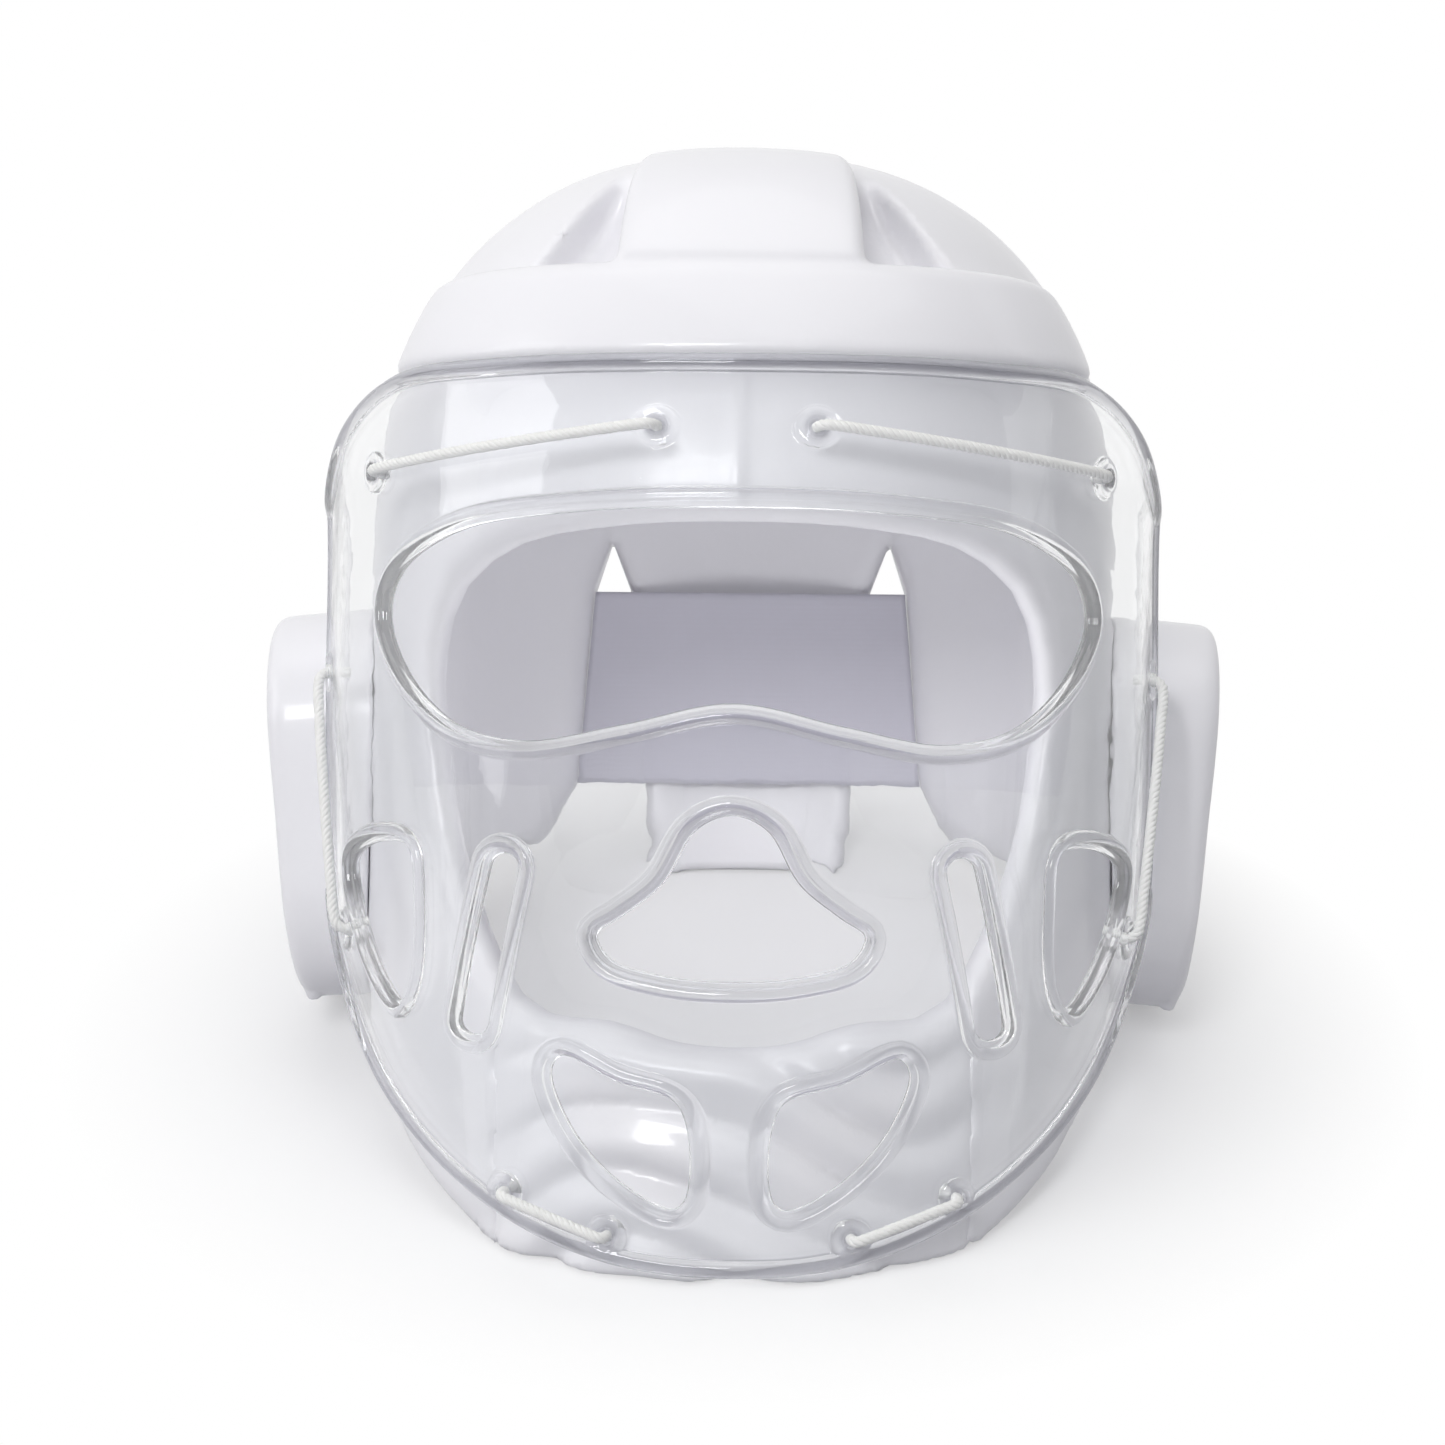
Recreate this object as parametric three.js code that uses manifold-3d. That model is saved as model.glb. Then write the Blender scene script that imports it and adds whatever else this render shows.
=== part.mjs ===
// Sparring headgear with a clear face shield.
// Dipped foam shell with a raised brow and crown pad, ear pads, a chin guard and an elastic back band,
// and a clear moulded shield that is laced to the front.
// Millimetres. Everything is shaped in the worn pose, with the ear centre at the origin, x to the
// wearer's left, -y to the front and z up. The last lines lay it back on its chin guard and neck flap,
// as it rests by itself. Right and left in the piece names are those of the front view.
import * as THREE from "three";
import { mergeVertices } from "three/addons/utils/BufferGeometryUtils.js";
import Module from "manifold-3d";

const wasm = await Module();
wasm.setup();

// General clearance between pieces that touch.
const CLEARANCE = 0.3;

// Foam shell.
const SHELL_HALF_WIDTH = 101;
const SHELL_FRONT = 108;
const SHELL_BACK = 123;
const CROWN_BASE = 40;
const CROWN_HEIGHT = 114;
const CROWN_POWER = 2.35;
const PLAN_POWER = 2.4;
const FOAM = 18;
const BODY_DEPTH = 165;
const SHELL_SIDES = 44;
const DOME_RINGS = 9;
const DOME_TOP_GAP = 0.6;

// Recess on both sides of the crown pad, from the brow band up to the bulge of the dome.
const RECESS_DEPTH = 7;
const RECESS_WIDTH = 20;
const RECESS_FLAT_SHARE = 0.3;
const RECESS_START = 92;
const RECESS_FULL = 108;
const RECESS_FADE_SHARE = 0.66;
const RECESS_END_SHARE = 0.92;
const RECESS_FRONT_SHARE = 0.45;

// Raised brow band and crown pad.
const PAD_RAISE = 8;
const PAD_TAPER = 6.5;
const PAD_TAPER_START = 0.75;
const PAD_TAPER_END = 0.3;
const BROW_HEIGHT = 25;
const BROW_END = 47;
const BROW_END_STEPS = 8;
const CROWN_PAD_BASE_HALF = 32;
const CROWN_PAD_TOP_HALF = 21.5;
const CROWN_PAD_REAR_Z = 62;

// Face opening.
const FACE_HALF_WIDTH = 75;
const FACE_TOP = 49;
const FACE_BOTTOM = -79;
const FACE_STEPS = 36;

// Chin guard.
const CHIN_HALF_WIDTH = 57;
const CHIN_REAR_SHARE = 0.45;
const CHIN_TOP_SHARE = 0.7;

// Neck flap, and the gaps between it and the side panels.
const FLAP_HALF_WIDTH = 32;
const FLAP_TOP_HALF = 37;
const REAR_GAP_TOP = 56;
const PANEL_EDGE = 53;
const PANEL_LEAN = 5;
const PANEL_CORNER_OUT = 8;
const PANEL_CORNER_DROP = 15;
const PANEL_FLARE = 25;
const REAR_CUT_SHARE = 0.4;
const BAND_TOP = 40;
const BAND_HEIGHT = 59;
const BAND_THICKNESS = 3;
const BAND_BOW = 1.5;
const BAND_STEPS = 6;

// Ear pads.
const EAR_PAD_WIDTH = 90;
const EAR_PAD_HEIGHT = 103;
const EAR_PAD_Y = 8;
const EAR_PAD_Z = -21.5;
const EAR_PAD_REACH = 124;
const EAR_PAD_LEAN = 5;
const EAR_PAD_CORNER = 26;
const EAR_PAD_EDGE = 5;
const EAR_HOLE_RADIUS = 11;
const EAR_HOLE_SIDES = 16;

// Clear shield.
const SHIELD_HALF_WIDTH = 107;
const SHIELD_FRONT = 131;
const SHIELD_EDGE = 41;
const SHIELD_TOP = 87;
const SHIELD_DEPTH = 131;
const SHIELD_THICKNESS = 2.6;
const SHIELD_POWER = 2.1;
const SHIELD_STEPS = 20;
const SHIELD_OUTLINE_STEPS = 34;
const SHIELD_FLARE = 20;
const LIP_HEIGHT = 4;
const LIP_SHARE = 0.8;
const RIM_WIDTH = 4;
const BEAD_WIDTH = 3.2;
const BEAD_RAISE = 1.7;

// Eye opening of the shield, in the front view.
const EYE_HALF_WIDTH = 87;
const EYE_TOP = 52;
const EYE_HEIGHT = 58;
const EYE_STEPS = 30;

// Openings below the eyes, in the front view: widths, and heights as shares of the shield's depth.
const NOSE_HALF_WIDTH = 33;
const NOSE_TOP = -0.1565 * SHIELD_DEPTH;
const NOSE_HEIGHT = 0.317 * SHIELD_DEPTH;
const NOSE_STEPS = 20;
const SLOT_RADIUS = 4.7;
const SLOT_TOP = { x: 54.5, z: -0.267 * SHIELD_DEPTH };
const SLOT_BOTTOM = { x: 62, z: -0.55 * SHIELD_DEPTH };
const SLOT_STEPS = 4;
const SIDE_VENT_INNER = 77;
const SIDE_VENT_WIDTH = 19;
const SIDE_VENT_TOP = -0.2215 * SHIELD_DEPTH;
const SIDE_VENT_HEIGHT = 0.313 * SHIELD_DEPTH;
const SIDE_VENT_STEPS = 12;
const CHIN_VENT_INNER = 9;
const CHIN_VENT_WIDTH = 35;
const CHIN_VENT_TOP = -0.5955 * SHIELD_DEPTH;
const CHIN_VENT_HEIGHT = 0.294 * SHIELD_DEPTH;
const CHIN_VENT_STEPS = 14;

// Laces.
const LACE_RADIUS = 1.25;
const LACE_SIDES = 6;
const LACE_STEPS = 14;
const LACE_SHARES = [0.06, 0.25, 0.5, 0.75, 0.94];
const LACE_HOLE_RADIUS = 2.4;
const BOSS_RADIUS = 5;
const BOSS_RAISE = 1.4;

// Resting pose.
const LAID_BACK = THREE.MathUtils.degToRad(23);
const REST_LEVEL = 82.5;

const SHIELD_HEIGHT = SHIELD_TOP + SHIELD_DEPTH;
const BROW_BOTTOM = SHIELD_TOP + 1;
const BROW_TOP = BROW_BOTTOM + BROW_HEIGHT;
const FAR = 400;

// Sections of the foam body below the crown: height, and shares of the half width, front and back.
const BODY_SECTIONS = [
  { z: -BODY_DEPTH, half: 0.88, front: 0.95, back: 0.88 },
  { z: -0.77 * BODY_DEPTH, half: 0.95, front: 1.0, back: 0.92 },
  { z: -0.491 * BODY_DEPTH, half: 1.0, front: 1.0, back: 0.95 },
  { z: -0.182 * BODY_DEPTH, half: 1.0, front: 0.98, back: 0.98 },
  { z: 0.25 * CROWN_BASE, half: 1.0, front: 0.99, back: 1.0 },
  { z: CROWN_BASE, half: 1.0, front: 1.0, back: 1.0 },
];

// Lower edge of the foam, seen from the side, from the front to the back.
const LOWER_EDGE = [
  { y: -1.2 * SHELL_FRONT, z: -0.933 * BODY_DEPTH },
  { y: -0.83 * SHELL_FRONT, z: -0.873 * BODY_DEPTH },
  { y: -0.79 * SHELL_FRONT, z: -0.77 * BODY_DEPTH },
  { y: -0.56 * SHELL_FRONT, z: -0.636 * BODY_DEPTH },
  { y: -0.32 * SHELL_FRONT, z: -0.491 * BODY_DEPTH },
  { y: 0, z: -0.37 * BODY_DEPTH },
  { y: 0.33 * SHELL_BACK, z: -0.273 * BODY_DEPTH },
  { y: 0.6 * SHELL_BACK, z: -0.23 * BODY_DEPTH },
  { y: 1.2 * SHELL_BACK, z: -0.23 * BODY_DEPTH },
];

// Right half of each symmetric outline, in shares of its half width and of its height below its top.
const FACE_OUTLINE = [
  { across: 0, down: 0 },
  { across: 0.42, down: 0.01 },
  { across: 0.74, down: 0.045 },
  { across: 0.93, down: 0.13 },
  { across: 1, down: 0.27 },
  { across: 0.98, down: 0.44 },
  { across: 0.9, down: 0.66 },
  { across: 0.68, down: 0.92 },
  { across: 0.42, down: 0.975 },
  { across: 0, down: 1 },
];
const EYE_OUTLINE = [
  { across: 0, down: 0 },
  { across: 0.45, down: 0.02 },
  { across: 0.78, down: 0.09 },
  { across: 0.96, down: 0.26 },
  { across: 1, down: 0.46 },
  { across: 0.93, down: 0.72 },
  { across: 0.78, down: 0.93 },
  { across: 0.58, down: 1 },
  { across: 0.3, down: 0.93 },
  { across: 0, down: 0.84 },
];
const NOSE_OUTLINE = [
  { across: 0, down: 0 },
  { across: 0.28, down: 0.09 },
  { across: 0.52, down: 0.4 },
  { across: 0.8, down: 0.58 },
  { across: 1, down: 0.7 },
  { across: 0.9, down: 0.87 },
  { across: 0.5, down: 0.97 },
  { across: 0, down: 1 },
];
const SHIELD_OUTLINE = [
  { across: 0, down: 0 },
  { across: 0.56, down: 0.002 },
  { across: 0.8, down: 0.012 },
  { across: 0.93, down: 0.06 },
  { across: 1.0, down: 0.14 },
  { across: 1.06, down: 0.26 },
  { across: 1.06, down: 0.45 },
  { across: 1.0, down: 0.58 },
  { across: 0.94, down: 0.68 },
  { across: 0.83, down: 0.8 },
  { across: 0.68, down: 0.885 },
  { across: 0.48, down: 0.95 },
  { across: 0.24, down: 0.99 },
  { across: 0, down: 1 },
];

// Whole outlines of the right-hand vents, in shares of their width from the inner side and of their height.
const SIDE_VENT_OUTLINE = [
  { across: 0.12, down: 0.02 },
  { across: 0.6, down: 0 },
  { across: 1, down: 0.12 },
  { across: 0.94, down: 0.42 },
  { across: 0.55, down: 0.85 },
  { across: 0.25, down: 1 },
  { across: 0.06, down: 0.85 },
  { across: 0, down: 0.4 },
];
const CHIN_VENT_OUTLINE = [
  { across: 0.06, down: 0.3 },
  { across: 0.5, down: 0.15 },
  { across: 0.9, down: 0 },
  { across: 1, down: 0.12 },
  { across: 0.85, down: 0.5 },
  { across: 0.5, down: 0.84 },
  { across: 0.12, down: 1 },
  { across: 0, down: 0.9 },
];

// Shield sections: height, and shares of the half width and of the front.
const SHIELD_SECTIONS = [
  { z: -SHIELD_DEPTH - SHIELD_FLARE, half: 0.86, front: 0.86 },
  { z: -SHIELD_DEPTH, half: 0.9, front: 0.915 },
  { z: -0.763 * SHIELD_DEPTH, half: 0.94, front: 0.955 },
  { z: -0.458 * SHIELD_DEPTH, half: 0.98, front: 0.99 },
  { z: -0.076 * SHIELD_DEPTH, half: 1, front: 1 },
  { z: 0.46 * SHIELD_TOP, half: 1, front: 0.975 },
  { z: SHIELD_TOP, half: 1, front: 0.9 },
  { z: SHIELD_TOP + SHIELD_FLARE, half: 0.98, front: 0.85 },
];

// Lace routes over the right half of the shield, from the hole where each starts to the other one, in
// shares of the shield's half width and of its height below its top.
const LACE_ROUTES = {
  top: { from: shieldPlace(0.178, 0.078), to: shieldPlace(0.841, 0.119) },
  side: { from: shieldPlace(0.9907, 0.344), to: shieldPlace(0.916, 0.642) },
  bottom: { from: shieldPlace(0.271, 0.9587), to: shieldPlace(0.505, 0.9174) },
};

const FOAM_WHITE = new THREE.MeshStandardMaterial({ color: 0xf1f1f3, roughness: 0.28, metalness: 0 });
const ELASTIC_WHITE = new THREE.MeshStandardMaterial({ color: 0xdcdce4, roughness: 0.85, metalness: 0 });
const LACE_WHITE = new THREE.MeshStandardMaterial({ color: 0xf4f4f2, roughness: 0.7, metalness: 0 });
const CLEAR_PLASTIC = new THREE.MeshStandardMaterial({
  color: 0xeef2f4,
  roughness: 0.06,
  metalness: 0,
  transparent: true,
  opacity: 0.35,
});

function shieldPlace(across, down) {
  return { x: across * SHIELD_HALF_WIDTH, z: SHIELD_TOP - down * SHIELD_HEIGHT };
}

// Solids.
function solidOf(geometry) {
  const bare = geometry.clone();
  bare.deleteAttribute("normal");
  bare.deleteAttribute("uv");
  const merged = mergeVertices(bare, 1e-4);
  return new wasm.Manifold(
    new wasm.Mesh({
      numProp: 3,
      vertProperties: merged.attributes.position.array,
      triVerts: new Uint32Array(merged.index.array),
    }),
  );
}

function meshOf(name, solid, material) {
  const { vertProperties, triVerts } = solid.getMesh();
  const geometry = new THREE.BufferGeometry();
  geometry.setAttribute("position", new THREE.BufferAttribute(vertProperties, 3));
  geometry.setIndex(new THREE.BufferAttribute(triVerts, 1));
  const mesh = new THREE.Mesh(geometry, material);
  mesh.name = name;
  return mesh;
}

// A closed body through rings of points that run anticlockwise seen from above, from the lowest ring up.
function loft(rings, lowest, highest) {
  const positions = [];
  const indices = [];
  const count = rings[0].length;
  for (const ring of rings) {
    for (const point of ring) positions.push(point.x, point.y, point.z);
  }
  positions.push(lowest.x, lowest.y, lowest.z, highest.x, highest.y, highest.z);
  const lowIndex = rings.length * count;
  const highIndex = lowIndex + 1;
  const topStart = (rings.length - 1) * count;
  for (let side = 0; side < count; side++) {
    const next = (side + 1) % count;
    for (let ring = 0; ring < rings.length - 1; ring++) {
      const a = ring * count + side;
      const b = ring * count + next;
      indices.push(a, b, b + count, a, b + count, a + count);
    }
    indices.push(next, side, lowIndex);
    indices.push(topStart + side, topStart + next, highIndex);
  }
  const geometry = new THREE.BufferGeometry();
  geometry.setAttribute("position", new THREE.Float32BufferAttribute(positions, 3));
  geometry.setIndex(indices);
  return solidOf(geometry);
}

// A prism of an outline drawn in the front view (x, z), between two depths.
function frontPrism(outline, front, back) {
  const geometry = new THREE.ExtrudeGeometry(new THREE.Shape(outline), {
    depth: back - front,
    bevelEnabled: false,
  });
  geometry.rotateX(Math.PI / 2);
  geometry.translate(0, back, 0);
  return solidOf(geometry);
}

// A prism of an outline drawn in the side view (y, z), from one x to another.
function sidePrism(outline, from, to) {
  const geometry = new THREE.ExtrudeGeometry(new THREE.Shape(outline), {
    depth: to - from,
    bevelEnabled: false,
  });
  const turn = new THREE.Matrix4().makeBasis(
    new THREE.Vector3(0, 1, 0),
    new THREE.Vector3(0, 0, 1),
    new THREE.Vector3(1, 0, 0),
  );
  geometry.applyMatrix4(turn);
  geometry.translate(from, 0, 0);
  return solidOf(geometry);
}

// A prism of an outline drawn in the top view (x, y), between two heights.
function topPrism(outline, low, high) {
  const geometry = new THREE.ExtrudeGeometry(new THREE.Shape(outline), {
    depth: high - low,
    bevelEnabled: false,
  });
  geometry.translate(0, 0, low);
  return solidOf(geometry);
}

function block(low, high) {
  const geometry = new THREE.BoxGeometry(high.x - low.x, high.y - low.y, high.z - low.z);
  geometry.translate((low.x + high.x) / 2, (low.y + high.y) / 2, (low.z + high.z) / 2);
  return solidOf(geometry);
}

function mirrored(solid) {
  return solid.mirror([1, 0, 0]);
}

function bothSides(solid) {
  return solid.add(mirrored(solid));
}

// Outlines.
function roundOutline(corners, steps) {
  const curve = new THREE.CatmullRomCurve3(
    corners.map((corner) => new THREE.Vector3(corner.x, corner.z, 0)),
    true,
    "centripetal",
  );
  return curve
    .getSpacedPoints(steps)
    .slice(0, -1)
    .map((point) => new THREE.Vector2(point.x, point.y));
}

function symmetricCorners(rows, half, top, height) {
  const right = rows.map((row) => ({ x: row.across * half, z: top - row.down * height }));
  const left = right
    .slice(1, -1)
    .reverse()
    .map((corner) => ({ x: -corner.x, z: corner.z }));
  return right.concat(left);
}

function ventCorners(rows, inner, width, top, height) {
  return rows.map((row) => ({ x: inner + row.across * width, z: top - row.down * height }));
}

// An outline moved outwards by a distance.
function grown(outline, distance) {
  const turn = THREE.ShapeUtils.isClockWise(outline) ? -1 : 1;
  return outline.map((point, index) => {
    const before = outline[(index + outline.length - 1) % outline.length];
    const after = outline[(index + 1) % outline.length];
    const along = after.clone().sub(before).normalize();
    return new THREE.Vector2(point.x + turn * along.y * distance, point.y - turn * along.x * distance);
  });
}

function stadium(top, bottom, radius, steps) {
  const across = Math.atan2(top.z - bottom.z, top.x - bottom.x) - Math.PI / 2;
  const outline = [];
  for (const end of [top, bottom]) {
    const start = end === top ? across : across + Math.PI;
    for (let step = 0; step <= steps; step++) {
      const angle = start + (Math.PI * step) / steps;
      outline.push(new THREE.Vector2(end.x + radius * Math.cos(angle), end.z + radius * Math.sin(angle)));
    }
  }
  return outline;
}

// A value between the rows of a section table.
function sectionAt(rows, z, column) {
  const upper = rows.findIndex((row) => row.z >= z);
  if (upper <= 0) return rows[upper < 0 ? rows.length - 1 : 0][column];
  const low = rows[upper - 1];
  const high = rows[upper];
  return THREE.MathUtils.mapLinear(z, low.z, high.z, low[column], high[column]);
}

// Foam body.
function signedPower(value, power) {
  return Math.sign(value) * Math.abs(value) ** power;
}

function crownPadHalf(y) {
  const share = Math.min(1, Math.abs(y) / SHELL_FRONT);
  return THREE.MathUtils.lerp(CROWN_PAD_TOP_HALF, CROWN_PAD_BASE_HALF, share);
}

function recessAt(x, y, z) {
  const rise = THREE.MathUtils.smoothstep(z, RECESS_START, RECESS_FULL);
  const edge = crownPadHalf(y) + RECESS_WIDTH * RECESS_FLAT_SHARE;
  const fade = 1 - THREE.MathUtils.smoothstep(Math.abs(x), edge, crownPadHalf(y) + RECESS_WIDTH);
  const upward = (z - CROWN_BASE) / CROWN_HEIGHT;
  const bulge = 1 - THREE.MathUtils.smoothstep(upward, RECESS_FADE_SHARE, RECESS_END_SHARE);
  const ahead = THREE.MathUtils.smoothstep(-y, 0, SHELL_FRONT * RECESS_FRONT_SHARE);
  return RECESS_DEPTH * rise * fade * bulge * ahead;
}

// How far the raised pad sinks towards the dome on its way up from the brow.
function padTaperAt(x, y) {
  return PAD_TAPER * THREE.MathUtils.smoothstep(y, -SHELL_FRONT * PAD_TAPER_START, -SHELL_FRONT * PAD_TAPER_END);
}

function flat() {
  return 0;
}

function bodyPoint(turn, section, inset) {
  const side = signedPower(Math.cos(turn), 2 / PLAN_POWER);
  const depth = signedPower(Math.sin(turn), 2 / PLAN_POWER);
  const reach = depth < 0 ? SHELL_FRONT * section.front : SHELL_BACK * section.back;
  return new THREE.Vector3(
    side * (SHELL_HALF_WIDTH * section.half - inset) * section.shrink,
    depth * (reach - inset) * section.shrink,
    section.z(inset),
  );
}

// The outer body of the head shape, smaller all round by the inset and by what the relief says at each place.
function headBody(inset, reliefAt) {
  const sections = BODY_SECTIONS.map((row) => ({ ...row, shrink: 1, z: () => row.z }));
  for (let ring = 1; ring <= DOME_RINGS; ring++) {
    const angle = (ring / (DOME_RINGS + DOME_TOP_GAP)) * (Math.PI / 2);
    const rise = Math.sin(angle) ** (2 / CROWN_POWER);
    sections.push({
      half: 1,
      front: 1,
      back: 1,
      shrink: Math.cos(angle) ** (2 / CROWN_POWER),
      z: (drop) => CROWN_BASE + (CROWN_HEIGHT - drop) * rise,
    });
  }
  const rings = sections.map((section) => {
    const ring = [];
    for (let side = 0; side < SHELL_SIDES; side++) {
      const turn = (2 * Math.PI * side) / SHELL_SIDES;
      const plain = bodyPoint(turn, section, inset);
      ring.push(bodyPoint(turn, section, inset + reliefAt(plain.x, plain.y, plain.z)));
    }
    return ring;
  });
  const top = CROWN_BASE + CROWN_HEIGHT - inset;
  return loft(
    rings,
    new THREE.Vector3(0, 0, -BODY_DEPTH),
    new THREE.Vector3(0, 0, top - reliefAt(0, 0, top)),
  );
}

function lowerEdgeCut() {
  const outline = LOWER_EDGE.map((row) => new THREE.Vector2(row.y, row.z));
  outline.push(new THREE.Vector2(FAR, outline.at(-1).y), new THREE.Vector2(FAR, -FAR));
  outline.push(new THREE.Vector2(-FAR, -FAR), new THREE.Vector2(-FAR, outline[0].y));
  const flap = block(
    new THREE.Vector3(-FLAP_HALF_WIDTH, SHELL_BACK / 2, -FAR),
    new THREE.Vector3(FLAP_HALF_WIDTH, FAR, 0),
  );
  return sidePrism(outline, -FAR, FAR).subtract(flap);
}

// Everything below the surface that the headgear rests on.
function restingCut() {
  const geometry = new THREE.BoxGeometry(FAR, FAR * 2, FAR);
  geometry.translate(0, 0, -REST_LEVEL - FAR / 2);
  geometry.rotateX(LAID_BACK);
  return solidOf(geometry);
}

function rearGapCut() {
  const outline = [
    { x: PANEL_EDGE - PANEL_LEAN * 2, z: REAR_GAP_TOP },
    { x: PANEL_EDGE - PANEL_LEAN, z: BAND_TOP },
    { x: PANEL_EDGE, z: BAND_TOP - BAND_HEIGHT },
    { x: PANEL_EDGE + PANEL_CORNER_OUT, z: BAND_TOP - BAND_HEIGHT - PANEL_CORNER_DROP },
    { x: PANEL_EDGE + PANEL_FLARE, z: -BODY_DEPTH },
    { x: FLAP_HALF_WIDTH, z: -BODY_DEPTH },
    { x: FLAP_HALF_WIDTH, z: BAND_TOP - BAND_HEIGHT },
    { x: FLAP_TOP_HALF, z: BAND_TOP },
  ].map((corner) => new THREE.Vector2(corner.x, corner.z));
  return bothSides(frontPrism(outline, SHELL_BACK * REAR_CUT_SHARE, FAR));
}

function earHole(side) {
  const geometry = new THREE.CylinderGeometry(
    EAR_HOLE_RADIUS,
    EAR_HOLE_RADIUS,
    SHELL_HALF_WIDTH,
    EAR_HOLE_SIDES,
  );
  geometry.rotateZ(Math.PI / 2);
  geometry.translate(side * SHELL_HALF_WIDTH, EAR_PAD_Y, EAR_PAD_Z);
  return solidOf(geometry);
}

function chinZone(clearance) {
  const half = CHIN_HALF_WIDTH + clearance;
  return block(
    new THREE.Vector3(-half, -FAR, -BODY_DEPTH - 1),
    new THREE.Vector3(half, -SHELL_FRONT * CHIN_REAR_SHARE, FACE_BOTTOM * CHIN_TOP_SHARE),
  );
}

const skin = headBody(0, recessAt);
const skinClear = headBody(-CLEARANCE, recessAt);
const faceCut = frontPrism(
  roundOutline(
    symmetricCorners(FACE_OUTLINE, FACE_HALF_WIDTH, FACE_TOP, FACE_TOP - FACE_BOTTOM),
    FACE_STEPS,
  ),
  -FAR,
  0,
);
const foam = skin
  .subtract(headBody(FOAM, flat))
  .subtract(faceCut)
  .subtract(lowerEdgeCut())
  .subtract(restingCut())
  .subtract(rearGapCut())
  .subtract(earHole(1))
  .subtract(earHole(-1));

const shell = foam.subtract(chinZone(CLEARANCE));
const chinGuard = foam.intersect(chinZone(0));

// Brow band and crown pad, one raised pad on the shell.
function browPad() {
  const layer = headBody(-PAD_RAISE, padTaperAt).subtract(skinClear);
  const middle = (BROW_BOTTOM + BROW_TOP) / 2;
  const round = BROW_HEIGHT / 2;
  const band = [new THREE.Vector2(-FAR, BROW_BOTTOM)];
  for (let step = 0; step <= BROW_END_STEPS; step++) {
    const angle = -Math.PI / 2 + (Math.PI * step) / BROW_END_STEPS;
    const y = -BROW_END - round + round * Math.cos(angle);
    band.push(new THREE.Vector2(y, middle + round * Math.sin(angle)));
  }
  band.push(new THREE.Vector2(-FAR, BROW_TOP));
  const strip = [];
  for (const y of [-1.2, -0.6, 0, 0.6, 1.2]) {
    strip.push(new THREE.Vector2(crownPadHalf(y * SHELL_FRONT), y * SHELL_FRONT));
  }
  const outline = strip.concat(
    strip
      .slice()
      .reverse()
      .map((point) => new THREE.Vector2(-point.x, point.y)),
  );
  const crown = topPrism(outline, CROWN_PAD_REAR_Z, FAR).subtract(
    block(new THREE.Vector3(-FAR, -FAR, -FAR), new THREE.Vector3(FAR, 0, BROW_TOP - 1)),
  );
  return layer.intersect(sidePrism(band, -FAR, FAR).add(crown));
}

// Ear pads.
function earPad() {
  const halfWidth = EAR_PAD_WIDTH / 2 - EAR_PAD_EDGE;
  const halfHeight = EAR_PAD_HEIGHT / 2 - EAR_PAD_EDGE;
  const corner = EAR_PAD_CORNER;
  const shape = new THREE.Shape();
  shape.moveTo(-halfWidth + corner, -halfHeight);
  shape.lineTo(halfWidth - corner, -halfHeight);
  shape.absarc(halfWidth - corner, -halfHeight + corner, corner, -Math.PI / 2, 0);
  shape.absarc(halfWidth - corner, halfHeight - corner, corner, 0, Math.PI / 2);
  shape.absarc(-halfWidth + corner, halfHeight - corner, corner, Math.PI / 2, Math.PI);
  shape.absarc(-halfWidth + corner, -halfHeight + corner, corner, Math.PI, 1.5 * Math.PI);
  const geometry = new THREE.ExtrudeGeometry(shape, {
    depth: EAR_PAD_REACH - SHELL_HALF_WIDTH / 2 - EAR_PAD_EDGE,
    bevelSize: EAR_PAD_EDGE,
    bevelThickness: EAR_PAD_EDGE,
    bevelSegments: 2,
    curveSegments: 4,
  });
  const turn = new THREE.Matrix4().makeBasis(
    new THREE.Vector3(0, 1, 0),
    new THREE.Vector3(0, 0, 1),
    new THREE.Vector3(1, 0, 0),
  );
  geometry.applyMatrix4(turn);
  geometry.translate(-SHELL_HALF_WIDTH / 2, 0, 0);
  geometry.rotateY(THREE.MathUtils.degToRad(EAR_PAD_LEAN));
  geometry.translate(SHELL_HALF_WIDTH, EAR_PAD_Y, EAR_PAD_Z);
  return solidOf(geometry).subtract(skinClear).subtract(earHole(1));
}

// Back band: a wide elastic between the rear edges of the side panels, inside the neck flap.
function backBand() {
  const inner = { half: SHELL_HALF_WIDTH - FOAM, back: SHELL_BACK - FOAM };
  const flapShare = (FLAP_TOP_HALF / inner.half) ** PLAN_POWER;
  const rear = inner.back * (1 - flapShare) ** (1 / PLAN_POWER) - CLEARANCE;
  const ahead = [];
  for (let step = -BAND_STEPS; step <= BAND_STEPS; step++) {
    const share = step / BAND_STEPS;
    const bow = BAND_BOW * (1 - share * share);
    ahead.push(new THREE.Vector2(share * (PANEL_EDGE + BAND_THICKNESS), rear - BAND_THICKNESS + bow));
  }
  const behind = ahead.map((point) => new THREE.Vector2(point.x, point.y + BAND_THICKNESS)).reverse();
  const low = BAND_TOP - BAND_HEIGHT;
  const ends = [
    { x: PANEL_EDGE - PANEL_LEAN - CLEARANCE, z: BAND_TOP },
    { x: PANEL_EDGE - CLEARANCE, z: low },
    { x: -PANEL_EDGE + CLEARANCE, z: low },
    { x: -PANEL_EDGE + PANEL_LEAN + CLEARANCE, z: BAND_TOP },
  ].map((corner) => new THREE.Vector2(corner.x, corner.z));
  const half = FLAP_TOP_HALF + CLEARANCE;
  const flapSide = block(new THREE.Vector3(-half, 0, -BODY_DEPTH), new THREE.Vector3(half, FAR, FAR));
  return topPrism(ahead.concat(behind), low, BAND_TOP)
    .intersect(frontPrism(ends, 0, FAR))
    .subtract(flapSide.subtract(headBody(FOAM + CLEARANCE, flat)));
}

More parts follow.
